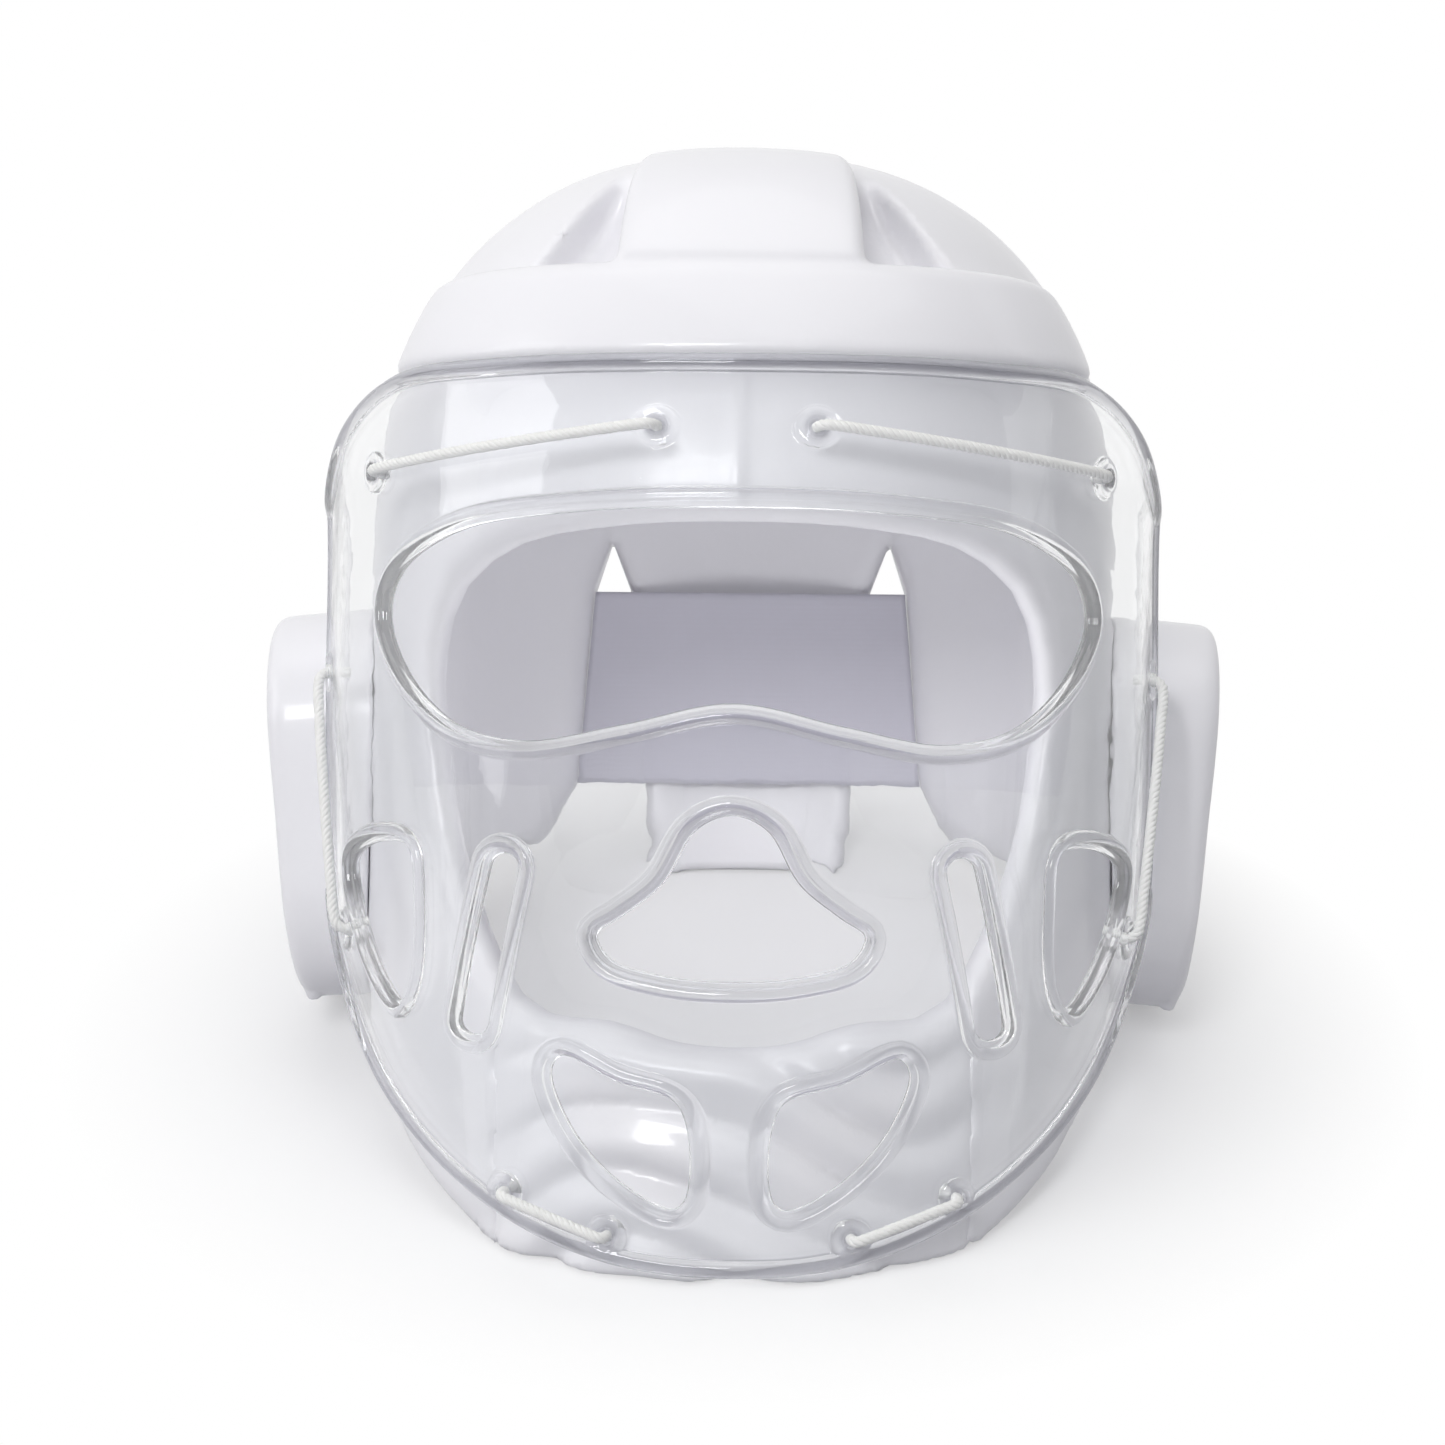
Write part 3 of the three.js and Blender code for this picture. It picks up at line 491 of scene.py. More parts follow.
def even_loop(points, spacing):
    closed = np.vstack([points, points[:1]])
    lengths = np.concatenate([[0], np.cumsum(np.linalg.norm(np.diff(closed, axis=0), axis=1))])
    count = max(8, int(round(lengths[-1] / spacing)))
    places = np.linspace(0, lengths[-1], count, endpoint=False)
    return np.stack([np.interp(places, lengths, closed[:, axis]) for axis in range(2)], axis=1)


def symmetric_outline(rows, half, top, height, spacing):
    right = [(across * half, top - down * height) for across, down in rows]
    left = [(-x, z) for x, z in reversed(right[1:-1])]
    return round_outline(right + left, spacing)


def vent_outline(rows, vent):
    inner, width, top, height = (vent[key] for key in ("inner", "width", "top", "height"))
    corners = [(inner + across * width, top - down * height) for across, down in rows]
    return round_outline(corners, VENT_CORNER_STEP)


def outline_distance(u, v, corners):
    """Signed distance to a closed outline, negative inside it."""
    nearest = np.inf
    inside = False
    for start, end in zip(corners, np.roll(corners, -1, axis=0)):
        edge = end - start
        du = u - start[0]
        dv = v - start[1]
        share = np.clip((du * edge[0] + dv * edge[1]) / (edge @ edge), 0, 1)
        nearest = np.minimum(nearest, np.hypot(du - share * edge[0], dv - share * edge[1]))
        rise = edge[1] if abs(edge[1]) > 1e-9 else 1e-9
        crosses = ((start[1] > v) != (end[1] > v)) & (du < edge[0] * dv / rise)
        inside = inside ^ crosses
    return np.where(inside, -nearest, nearest)


def loop_distance(places, loop):
    return outline_distance(places[:, 0], places[:, 1], loop)


def to_row(points):
    """Points of the worn frame in millimetres, in the row frame in metres."""
    x, y, z = np.asarray(points, float).T
    turned = np.stack(
        [
            x,
            y * math.cos(LAID_BACK) + z * math.sin(LAID_BACK),
            -y * math.sin(LAID_BACK) + z * math.cos(LAID_BACK),
        ],
        axis=1,
    )
    return turned * MM + EAR_CENTRE


# Foam shapes.
def head_level(x, y, z, inset):
    half = SHELL_HALF_WIDTH * section_shares(z, BODY_SECTIONS, 1) - inset
    front = SHELL_FRONT * section_shares(z, BODY_SECTIONS, 2) - inset
    back = SHELL_BACK * section_shares(z, BODY_SECTIONS, 3) - inset
    reach = np.where(y < 0, front, back)
    plan = (np.abs(x / half) ** PLAN_POWER + np.abs(y / reach) ** PLAN_POWER) ** (1 / PLAN_POWER)
    rise = np.maximum(z - CROWN_BASE, 0) / (CROWN_HEIGHT - inset)
    return (plan**CROWN_POWER + rise**CROWN_POWER) ** (1 / CROWN_POWER) - 1


def head_distance(x, y, z, inset=0.0, relief=None):
    """Distance to the outer head shape, made smaller by the inset and by what the relief says."""
    nudge = 0.5
    extra = relief(x, y, z) if relief else 0.0
    inset = inset + extra
    level = head_level(x, y, z, inset)
    slopes = []
    for axis in range(3):
        ahead = [x, y, z]
        ahead[axis] = ahead[axis] + nudge
        slopes.append((head_level(*ahead, inset) - level) / nudge)
    steep = np.sqrt(slopes[0] ** 2 + slopes[1] ** 2 + slopes[2] ** 2)
    return level / np.maximum(steep, 1e-4)


def crown_pad_half(y):
    share = np.minimum(1, np.abs(y) / SHELL_FRONT)
    return CROWN_PAD_TOP_HALF + (CROWN_PAD_BASE_HALF - CROWN_PAD_TOP_HALF) * share


def crown_recess(x, y, z):
    edge = crown_pad_half(y)
    up = np.clip((z - RECESS_FULL) / (CROWN_BASE + CROWN_HEIGHT * RECESS_END_SHARE - RECESS_FULL), 0, 1)
    width = RECESS_WIDTH * (1 - RECESS_NARROWING * up)
    fade = 1 - smooth_step(np.abs(x), edge + width * RECESS_FLAT_SHARE, edge + width)
    bulge = 1 - smooth_step((z - CROWN_BASE) / CROWN_HEIGHT, RECESS_FADE_SHARE, RECESS_END_SHARE)
    ahead = smooth_step(-y, 0, SHELL_FRONT * RECESS_FRONT_SHARE)
    return RECESS_DEPTH * smooth_step(z, RECESS_START, RECESS_FULL) * fade * bulge * ahead


def pad_taper(x, y, z):
    return PAD_TAPER * smooth_step(y / SHELL_FRONT, -PAD_TAPER_START, -PAD_TAPER_END) + 0 * x * z


def dip_unevenness(x, y, z):
    """The slight unevenness of a dipped skin."""
    slow = np.sin(x / 21 + 1.1) * np.sin(y / 17 + 0.4) * np.sin(z / 19 + 2.2)
    quick = np.sin(x / 9 + z / 13 + 0.7) * np.sin(y / 8 - z / 11 + 1.9)
    return SKIN_SLOW * slow + SKIN_QUICK * quick


def brow_seam(x, y, z):
    """The faint upright moulding line on the forehead, under the shield."""
    above_face = smooth_step(z, FACE_TOP, FACE_TOP + SEAM_FADE)
    below_brow = 1 - smooth_step(z, BROW_BOTTOM - SEAM_FADE, BROW_BOTTOM)
    return SEAM_RAISE * np.exp(-((x / SEAM_HALF_WIDTH) ** 2)) * above_face * below_brow * (y < 0)


def chin_folds(x, y, z, depth):
    """Soft slanting folds in the vinyl over the chin and the lower cheeks."""
    drift = z - FOLD_BEND * np.sin((x + FOLD_BEND_SHIFT) / FOLD_BEND_LENGTH)
    drift = drift + FOLD_WANDER * np.sin(x / 9 + z / 23 + 1.0) + FOLD_SLANT * x
    waves = FOLD_CREASE * (1 - np.abs(np.sin(drift / FOLD_SPACING))) - FOLD_LEVEL
    waves = waves + FOLD_RIPPLE * np.sin(drift / FOLD_RIPPLE_SPACING + 1.3 + x / 31)
    waves = waves * (0.7 + 0.3 * np.sin(x / 15 + z / 19 + 0.9))
    zone = smooth_step(-z, *FOLD_START_DEPTHS) * smooth_step(-y, *FOLD_FRONT)
    zone = zone * (1 - smooth_step(-z, *FOLD_END_DEPTHS))
    zone = zone * (1 - FOLD_SIDE_LOSS * smooth_step(np.abs(x), *FOLD_SIDES))
    return depth * waves * zone


def floor_distance(x, y, z):
    """Height over the surface that the headgear rests on, in the worn frame."""
    return -y * math.sin(LAID_BACK) + z * math.cos(LAID_BACK) + EAR_CENTRE[2] / MM + 0 * x


def chin_humps(x, z):
    """How far the upper edge of the chin guard rises at its two soft humps."""
    hump = np.exp(-(((np.abs(x) - CHIN_HUMP_X) / CHIN_HUMP_WIDTH) ** 2))
    return CHIN_HUMP * hump * smooth_step(-z, *CHIN_HUMP_DEPTHS)


def chin_zone(x, y, z, lap):
    return np.maximum(
        np.maximum(np.abs(x) - CHIN_HALF_WIDTH - lap, y + SHELL_FRONT * CHIN_REAR_SHARE),
        z - FACE_BOTTOM * CHIN_TOP_SHARE,
    )


def ear_hole(x, y, z):
    return np.hypot(y - EAR_PAD_Y, z - EAR_PAD_Z) - EAR_HOLE_RADIUS + 0 * x


def below_foam(x, y, z):
    """The room under the lower edge of the foam, without the neck flap."""
    far = 400.0
    ends = ((far, LOWER_EDGE[-1][1]), (far, -far), (-far, -far), (-far, LOWER_EDGE[0][1]))
    flap = np.maximum(np.maximum(np.abs(x) - FLAP_HALF_WIDTH, SHELL_BACK / 2 - y), z)
    return np.maximum(outline_distance(y, z, np.array(LOWER_EDGE + ends)), -flap)


def rear_gap(x, y, z):
    """The gap between the neck flap and each side panel."""
    band_low = BAND_TOP - BAND_HEIGHT
    gap = np.array((
        (PANEL_EDGE - PANEL_LEAN * 2, REAR_GAP_TOP),
        (PANEL_EDGE - PANEL_LEAN, BAND_TOP),
        (PANEL_EDGE, band_low),
        (PANEL_EDGE + PANEL_CORNER_OUT, band_low - PANEL_CORNER_DROP),
        (PANEL_EDGE + PANEL_FLARE, -BODY_DEPTH),
        (FLAP_HALF_WIDTH, -BODY_DEPTH),
        (FLAP_HALF_WIDTH, band_low),
        (FLAP_TOP_HALF, BAND_TOP),
    ))
    return np.maximum(outline_distance(np.abs(x), z, gap), SHELL_BACK * REAR_CUT_SHARE - y)


def foam_wall(x, y, z, settings, sunk=0.0):
    """The whole dipped foam before the chin guard is parted from it."""
    edge = settings.edge_round / MM
    outer = head_distance(x, y, z, 0.0, crown_recess) + dip_unevenness(x, y, z)
    outer = outer + chin_folds(x, y, z, settings.fold_depth / MM) - brow_seam(x, y, z) + sunk
    inner = head_distance(x, y, z, FOAM) - sunk
    face = symmetric_outline(FACE_OUTLINE, FACE_HALF_WIDTH, FACE_TOP, FACE_TOP - FACE_BOTTOM, FACE_STEP)
    opening = np.maximum(outline_distance(x, z - chin_humps(x, z), face), y)
    foam = np.maximum(outer, -inner)
    for room, radius in (
        (opening, edge),
        (below_foam(x, y, z), edge),
        (rear_gap(x, y, z), edge * REAR_ROUND_SHARE),
        (ear_hole(x, y, z), SMALL_ROUND),
        (floor_distance(x, y, z), SMALL_ROUND),
    ):
        foam = blunt_max(foam, -room, radius)
    return foam


def shell_field(x, y, z, settings):
    foam = foam_wall(x, y, z, settings)
    return blunt_max(foam, -chin_zone(x, y, z, 0.0), CHIN_SEAM_ROUND)


def chin_field(x, y, z, settings):
    start = CHIN_HALF_WIDTH - CHIN_LAP_START
    sunk = CHIN_LAP_SINK * smooth_step(np.abs(x), start, CHIN_HALF_WIDTH + CHIN_LAP)
    foam = foam_wall(x, y, z, settings, sunk) + sunk
    return blunt_max(foam, chin_zone(x, y, z, CHIN_LAP), CHIN_SEAM_ROUND)


def brow_field(x, y, z, settings):
    outer = head_distance(x, y, z, -PAD_RAISE, pad_taper) + dip_unevenness(x, y, z)
    inner = head_distance(x, y, z, PAD_SINK, crown_recess)
    middle = (BROW_BOTTOM + BROW_TOP) / 2
    half = (BROW_TOP - BROW_BOTTOM) / 2
    ahead = np.maximum(y + BROW_END + half, 0)
    band = np.hypot(ahead, z - middle) - half + 0 * x
    crown = np.maximum(np.abs(x) - crown_pad_half(y), CROWN_PAD_REAR_Z - z)
    crown = np.maximum(crown, -np.maximum(y, z - BROW_TOP + PAD_JOIN_LAP))
    seam = settings.seam_round / MM
    raised = blunt_max(outer, blunt_min(band, crown, PAD_JOIN_ROUND), seam)
    return np.maximum(raised, -inner)


def ear_pad_field(x, y, z, settings):
    out = x - SHELL_HALF_WIDTH
    up = z - EAR_PAD_Z + EAR_PAD_DROP
    depth = out * math.cos(EAR_PAD_LEAN) - up * math.sin(EAR_PAD_LEAN)
    rise = out * math.sin(EAR_PAD_LEAN) + up * math.cos(EAR_PAD_LEAN)
    across = np.abs(y - EAR_PAD_Y) - EAR_PAD_WIDTH / 2 + EAR_PAD_CORNER
    upward = np.abs(rise) - EAR_PAD_HEIGHT / 2 + EAR_PAD_CORNER
    plate = np.hypot(np.maximum(across, 0), np.maximum(upward, 0)) - EAR_PAD_CORNER
    plate = plate + np.minimum(np.maximum(across, upward), 0)
    rounding = settings.edge_round / MM * EAR_PAD_ROUND_SHARE
    pad = blunt_max(plate, depth - EAR_PAD_REACH + SHELL_HALF_WIDTH, rounding)
    pad = pad + dip_unevenness(x, y, z)
    skin = head_distance(x, y, z, -CLEARANCE)
    pad = blunt_max(pad, -skin, EAR_PAD_SEAT_ROUND)
    away = ((x - DRIP_PLACE[0]) ** 2, (y - DRIP_PLACE[1]) ** 2, (z - DRIP_PLACE[2]) ** 2)
    drip = np.sqrt(away[0] + away[1] + away[2]) - DRIP_RADIUS
    pad = blunt_min(pad, drip, DRIP_ROUND)
    return blunt_max(pad, -ear_hole(x, y, z), EAR_HOLE_ROUND)


def beside(spots, others, offset):
    """The grid cells that lie at an offset beside crossed grid edges."""
    cells = spots.copy()
    cells[:, others] -= offset
    return cells


def surface_net(field, low, cell):
    """A quad mesh along the places where a field on a regular grid passes zero."""
    inside = field < 0
    cells = np.array(field.shape) - 1
    total = np.zeros((*cells, 3))
    count = np.zeros(cells, int)
    edges = []
    for axis in range(3):
        others = [other for other in range(3) if other != axis]
        before = tuple(slice(None, -1) if k == axis else slice(None) for k in range(3))
        after = tuple(slice(1, None) if k == axis else slice(None) for k in range(3))
        spots = np.argwhere(inside[before] != inside[after])
        start = field[before][tuple(spots.T)]
        end = field[after][tuple(spots.T)]
        points = spots.astype(float)
        points[:, axis] += start / (start - end)
        for offset in ((0, 0), (0, 1), (1, 0), (1, 1)):
            near = beside(spots, others, offset)
            fits = np.all((near >= 0) & (near < cells), axis=1)
            np.add.at(total, tuple(near[fits].T), points[fits])
            np.add.at(count, tuple(near[fits].T), 1)
        edges.append((axis, others, spots, start < 0))
    used = count > 0
    number = np.full(cells, -1)
    number[used] = np.arange(used.sum())
    points = total[used] / count[used][:, None] * cell + low
    quads = []
    for axis, others, spots, outward in edges:
        offsets = ((1, 1), (0, 1), (0, 0), (1, 0))
        quad = np.stack([number[tuple(beside(spots, others, offset).T)] for offset in offsets], axis=1)
        flip = outward == (axis == 1)
        quad[flip] = quad[flip][:, ::-1]
        quads.append(quad)
    return points, np.vstack(quads)


def relaxed(points, quads, rounds):
    """Points moved halfway to the middle of their neighbours."""
    start, end = np.vstack([quads[:, (side, (side + 1) % 4)] for side in range(4)]).T
    count = len(points)
    degree = np.bincount(start, minlength=count) + np.bincount(end, minlength=count)
    for _ in range(rounds):
        middle = np.zeros_like(points)
        for axis in range(3):
            middle[:, axis] = np.bincount(start, points[end, axis], count)
            middle[:, axis] += np.bincount(end, points[start, axis], count)
        points = points + 0.5 * (middle / degree[:, None] - points)
    return points


def settled(points, field_at, rounds):
    """Points moved onto the place where the field is zero."""
    nudge = 0.2
    longest = 1.5
    flattest = 0.25
    for _ in range(rounds):
        value = field_at(*points.T)
        slope = np.empty_like(points)
        for axis in range(3):
            ahead = points.copy()
            ahead[:, axis] += nudge
            slope[:, axis] = (field_at(*ahead.T) - value) / nudge
        steep = np.maximum((slope**2).sum(axis=1), flattest)
        points = points - slope * np.clip(value, -longest, longest)[:, None] / steep[:, None]
    return points


def foam_mesh(field_at, low, high, cell):
    low = np.array(low, float)
    counts = np.ceil((np.array(high) - low) / cell).astype(int) + 1
    x, y, z = np.ogrid[: counts[0], : counts[1], : counts[2]]
    field = field_at(low[0] + x * cell, low[1] + y * cell, low[2] + z * cell)
    points, quads = surface_net(np.broadcast_to(field, tuple(counts)), low, cell)
    points = settled(relaxed(points, quads, 3), field_at, 2)
    return settled(relaxed(points, quads, 1), field_at, 2), quads


# Foam pieces: name, CAD node, field, corners of its room, mesh size and side of the head.
EAR_ROOM = ((78, -44, -82), (134, 60, 38))
FOAM_PIECES = (
    ("shell_foam", "foam_shell", shell_field, ((-108, -116, -168), (108, 131, 156)), "shell_cell", 1),
    ("chin_foam", "chin_guard", chin_field, ((-64, -116, -168), (64, -40, -50)), "pad_cell", 1),
    ("brow_foam", "brow_pad", brow_field, ((-112, -122, 56), (112, 136, 164)), "pad_cell", 1),
    ("ear_pad_foam_right", "ear_pad_right", ear_pad_field, EAR_ROOM, "pad_cell", 1),
    ("ear_pad_foam_left", "ear_pad_left", ear_pad_field, EAR_ROOM, "pad_cell", -1),
)


# Mesh objects.
def add_object(name, data):
    holder = bpy.data.objects.new(name, data)
    bpy.context.scene.collection.objects.link(holder)
    return holder


def shade_smooth(mesh):
    mesh.polygons.foreach_set("use_smooth", np.ones(len(mesh.polygons), bool))


def mesh_object(name, points, faces, material):
    mesh = bpy.data.meshes.new(name)
    mesh.from_pydata(points.tolist(), [], [list(face) for face in faces])
    mesh.materials.append(material)
    shade_smooth(mesh)
    mesh.update()
    return add_object(name, mesh)


def stand_for(piece, slot_name, *nodes):
    """The piece takes the place of CAD nodes on the one body of the headgear."""
    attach(piece, "root")
    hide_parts(*nodes)


# Materials.
def feed(tree, value, socket):
    """A socket takes a plain value, or the output of another node."""
    if isinstance(value, bpy.types.NodeSocket):
        tree.links.new(value, socket)
    else:
        socket.default_value = value


def add_node(tree, kind, inputs=None, **settings):
    """A new node with its settings, and what its inputs take by name or number."""
    node = tree.nodes.new(kind)
    for name, value in settings.items():
        setattr(node, name, value)
    for name, value in (inputs or {}).items():
        feed(tree, value, node.inputs[name])
    return node


def math_node(tree, operation, first, second):
    return add_node(tree, "ShaderNodeMath", {0: first, 1: second}, operation=operation).outputs[0]


def vector_node(tree, operation, inputs):
    return add_node(tree, "ShaderNodeVectorMath", inputs, operation=operation).outputs["Vector"]


def mixed_colors(tree, share, first, second):
    inputs = {"Factor": share, "A": first, "B": second}
    return add_node(tree, "ShaderNodeMix", inputs, data_type="RGBA").outputs["Result"]


def mixed_shaders(tree, share, first, second):
    return add_node(tree, "ShaderNodeMixShader", {"Fac": share, 1: first, 2: second}).outputs["Shader"]


def object_place(tree):
    return add_node(tree, "ShaderNodeTexCoord").outputs["Object"]


def add_sockets(tree, side, sockets):
    """Sockets of a group: the name, the kind and the default of each, where it has one."""
    for name, kind, *default in sockets:
        socket = tree.interface.new_socket(name=name, in_out=side, socket_type="NodeSocket" + kind)
        if default:
            socket.default_value = default[0]


def new_material(name, color, finish):
    """A material and its shader, with the plain values of its finish."""
    material = bpy.data.materials.new(name)
    material.use_nodes = True
    material.diffuse_color = color
    shader = material.node_tree.nodes["Principled BSDF"]
    for socket, value in {"Base Color": color, **finish}.items():
        shader.inputs[socket].default_value = value
    return material, material.node_tree, shader


def dipped_skin_group():
    """Height of a dipped skin: a slow orange peel and finer ripples."""
    tree = bpy.data.node_groups.new("Dipped Skin", "ShaderNodeTree")
    add_sockets(tree, "INPUT", (
        ("Vector", "Vector"),
        ("Peel Scale", "Float", 90.0),
        ("Ripple Scale", "Float", 420.0),
        ("Ripple Share", "Float", 0.25),
    ))
    add_sockets(tree, "OUTPUT", (("Height", "Float"),))
    given = add_node(tree, "NodeGroupInput").outputs
    peel, ripple = (
        add_node(tree, "ShaderNodeTexNoise", {
            "Vector": given["Vector"], "Scale": given[scale], "Detail": 1.5,
        }).outputs["Fac"]
        for scale in ("Peel Scale", "Ripple Scale")
    )
    faint = math_node(tree, "MULTIPLY", ripple, given["Ripple Share"])
    add_node(tree, "NodeGroupOutput", {"Height": math_node(tree, "ADD", peel, faint)})
    return tree


def add_bump(tree, shader, height, distance, strength):
    bump = add_node(tree, "ShaderNodeBump", {"Distance": distance, "Strength": strength, "Height": height})
    feed(tree, bump.outputs["Normal"], shader.inputs["Normal"])


def add_skin(tree, shader, skin, values, distance, strength):
    """The dipped skin's relief on a material, with values of its own."""
    inputs = {"Vector": object_place(tree), **values}
    group = add_node(tree, "ShaderNodeGroup", inputs, node_tree=skin)
    add_bump(tree, shader, group.outputs["Height"], distance, strength)


def foam_material(settings, skin):
    finish = {"Roughness": 0.42, "Coat Weight": 0.3, "Coat Roughness": 0.09}
    material, tree, shader = new_material("dipped_foam_skin", settings.color, finish)
    add_skin(tree, shader, skin, {}, 0.0004, 0.35)
    return material


def shield_material(settings, skin):
    """Clear plastic that lets the light through to the inside without a hard shadow."""
    finish = {"Roughness": 0.02, "Transmission Weight": 1.0, "IOR": 1.44}
    material, tree, shader = new_material("clear_moulded_plastic", settings.color, finish)
    # Painted shade: a point attribute mixes a darker colour into the clear tint at the rim, beads and lace
    # holes, standing in for the dark refraction at the edges and the shadow in the holes.
    edge = add_node(tree, "ShaderNodeAttribute", attribute_name="painted_edge_shade").outputs["Fac"]
    tint_and_painted_shade = mixed_colors(tree, edge, settings.color, settings.painted_edge_shade_color)
    feed(tree, tint_and_painted_shade, shader.inputs["Base Color"])
    values = {"Peel Scale": 38.0, "Ripple Scale": 160.0, "Ripple Share": 0.12}
    add_skin(tree, shader, skin, values, 0.0009, 0.3)
    rays = add_node(tree, "ShaderNodeLightPath").outputs
    indirect = math_node(tree, "MAXIMUM", rays["Is Shadow Ray"], rays["Is Diffuse Ray"])
    straight = math_node(tree, "MAXIMUM", indirect, settings.straight_share)
    clear = add_node(tree, "ShaderNodeBsdfTransparent", {"Color": (0.96, 0.965, 0.97, 1.0)}).outputs["BSDF"]
    surface = mixed_shaders(tree, straight, shader.outputs["BSDF"], clear)
    feed(tree, surface, tree.nodes["Material Output"].inputs["Surface"])
    return material


def webbing_material(settings):
    """Woven elastic with fine ribs along it."""
    finish = {"Roughness": 0.75, "Sheen Weight": 0.3}
    material, tree, shader = new_material("woven_elastic", settings.band_color, finish)
    weave = add_node(tree, "ShaderNodeUVMap", uv_map="weave").outputs["UV"]
    along, across = (
        add_node(tree, "ShaderNodeTexWave", {
            "Scale": scale, "Vector": weave,
        }, bands_direction=direction).outputs["Fac"]
        for direction, scale in (("Y", 12.0), ("X", 26.0))
    )
    faint = math_node(tree, "MULTIPLY", across, 0.4)
    add_bump(tree, shader, math_node(tree, "ADD", along, faint), 0.0002, 0.12)
    return material


def floor_material(settings):
    """A pale table that glows white away from the object as painted light, and takes its shade near it,
    lifted there by a share of the same glow.
    """
    material, tree, shader = new_material("pale_floor", settings.floor_color, {"Roughness": 0.7})
    away = add_node(tree, "ShaderNodeVectorMath", {0: object_place(tree)}, operation="LENGTH")
    glow = add_node(tree, "ShaderNodeMapRange", {
        "Value": away.outputs["Value"], "From Min": 0.12, "From Max": 0.19, "To Min": settings.floor_glow,
    })
    rays = add_node(tree, "ShaderNodeLightPath").outputs
    seen = math_node(tree, "SUBTRACT", 1.0, rays["Is Diffuse Ray"])
    tone = mixed_colors(tree, seen, settings.floor_bounce, settings.floor_color)
    feed(tree, tone, shader.inputs["Base Color"])
    # Painted light: the floor glows white for all but diffuse rays, fully away from the object and by the
    # glow share under it.
    white = add_node(tree, "ShaderNodeEmission").outputs["Emission"]
    lit = math_node(tree, "MULTIPLY", glow.outputs["Result"], seen)
    surface = mixed_shaders(tree, lit, shader.outputs["BSDF"], white)
    feed(tree, surface, tree.nodes["Material Output"].inputs["Surface"])
    return material


# Shield shapes.
def shield_points(along, height, outset):
    """Places on the shield: round from its middle, up, and out from its outer face."""
    def face(along, height):
        turn = along / SHIELD_WRAP
        half = SHIELD_HALF_WIDTH * section_shares(height, SHIELD_SECTIONS, 1)
        front = SHIELD_FRONT * section_shares(height, SHIELD_SECTIONS, 2) - SHIELD_EDGE
        power = 2 / SHIELD_POWER
        x = half * signed_power(np.sin(turn), power)
        y = -SHIELD_EDGE - front * signed_power(np.cos(turn), power)
        return np.stack([x, y, height + 0 * x], axis=-1)

    nudge = 0.3
    across = face(along + nudge, height) - face(along - nudge, height)
    upward = face(along, height + nudge) - face(along, height - nudge)
    normal = np.cross(across, upward)
    normal /= np.linalg.norm(normal, axis=-1, keepdims=True)
    return face(along, height) + normal * np.asarray(outset)[..., None]


def on_sheet(places):
    """Front view places as places round and up the shield."""
    places = np.asarray(places, float)
    half = SHIELD_HALF_WIDTH * section_shares(places[:, 1], SHIELD_SECTIONS, 1)
    share = np.clip(np.abs(places[:, 0]) / half, 0, 1)
    turn = np.arcsin(share ** (SHIELD_POWER / 2))
    return np.stack([np.sign(places[:, 0]) * turn * SHIELD_WRAP, places[:, 1]], axis=1)


def shield_place(across, down):
    return across * SHIELD_HALF_WIDTH, SHIELD_TOP - down * SHIELD_HEIGHT


def slot_outline():
    top = np.array(SLOT_TOP)
    bottom = np.array(SLOT_BOTTOM)
    along = math.atan2(top[1] - bottom[1], top[0] - bottom[0])
    points = []
    for end, start in ((top, along - math.pi / 2), (bottom, along + math.pi / 2)):
        for angle in np.linspace(start, start + math.pi, 12):
            points.append(end + SLOT_RADIUS * np.array((math.cos(angle), math.sin(angle))))
    return np.array(points)


def anticlockwise(loop):
    after = np.roll(loop, -1, axis=0)
    area = (loop[:, 0] * after[:, 1] - after[:, 0] * loop[:, 1]).sum()
    return loop if area > 0 else loop[::-1]


def grown(loop, distance):
    """An anticlockwise outline moved outwards."""
    along = np.roll(loop, -1, axis=0) - np.roll(loop, 1, axis=0)
    along /= np.linalg.norm(along, axis=1, keepdims=True)
    return loop + distance * np.stack([along[:, 1], -along[:, 0]], axis=1)


def shield_loops():
    """The outline of the sheet, its vents and its lace holes, round and up the shield."""
    outline = symmetric_outline(
        SHIELD_OUTLINE, SHIELD_HALF_WIDTH, SHIELD_TOP, SHIELD_HEIGHT, RIM_CORNER_STEP,
    )
    rim = anticlockwise(even_loop(on_sheet(outline), OUTLINE_STEP * RIM_STEP_SHARE))
    for _ in range(RIM_SMOOTHING):
        rim = (np.roll(rim, 1, axis=0) + 2 * rim + np.roll(rim, -1, axis=0)) / 4
    openings = [
        symmetric_outline(EYE_OUTLINE, EYE_HALF_WIDTH, EYE_TOP, EYE_HEIGHT, OPENING_CORNER_STEP),
        symmetric_outline(NOSE_OUTLINE, NOSE_HALF_WIDTH, NOSE_TOP, NOSE_HEIGHT, OPENING_CORNER_STEP),
    ]
    paired = [
        vent_outline(SIDE_VENT_OUTLINE, SIDE_VENT),
        vent_outline(CHIN_VENT_OUTLINE, CHIN_VENT),
        slot_outline(),
    ]
    openings += paired + [shape * (-1, 1) for shape in paired]
    vents = [anticlockwise(even_loop(on_sheet(shape), OUTLINE_STEP)) for shape in openings]
    turns = np.linspace(0, 2 * math.pi, LACE_HOLE_SIDES, endpoint=False)
    ring = LACE_HOLE_RADIUS * np.stack([np.cos(turns), np.sin(turns)], axis=1)
    ends = [on_sheet([shield_place(*end)])[0] for route in LACE_ROUTES.values() for end in route]
    holes = [centre * (side, 1) + ring for centre in ends for side in (1, -1)]
    return rim, vents, holes


def half_round(share):
    return np.sqrt(np.maximum(0, 1 - (2 * np.clip(share, 0, 1) - 1) ** 2))


def offset_loop(loop, distance):
    """An anticlockwise outline moved outwards, without points that would cross over at tight turns."""
    moved = grown(loop, distance)
    least_share = 0.97
    return moved[np.abs(loop_distance(moved, loop)) >= abs(distance) * least_share]


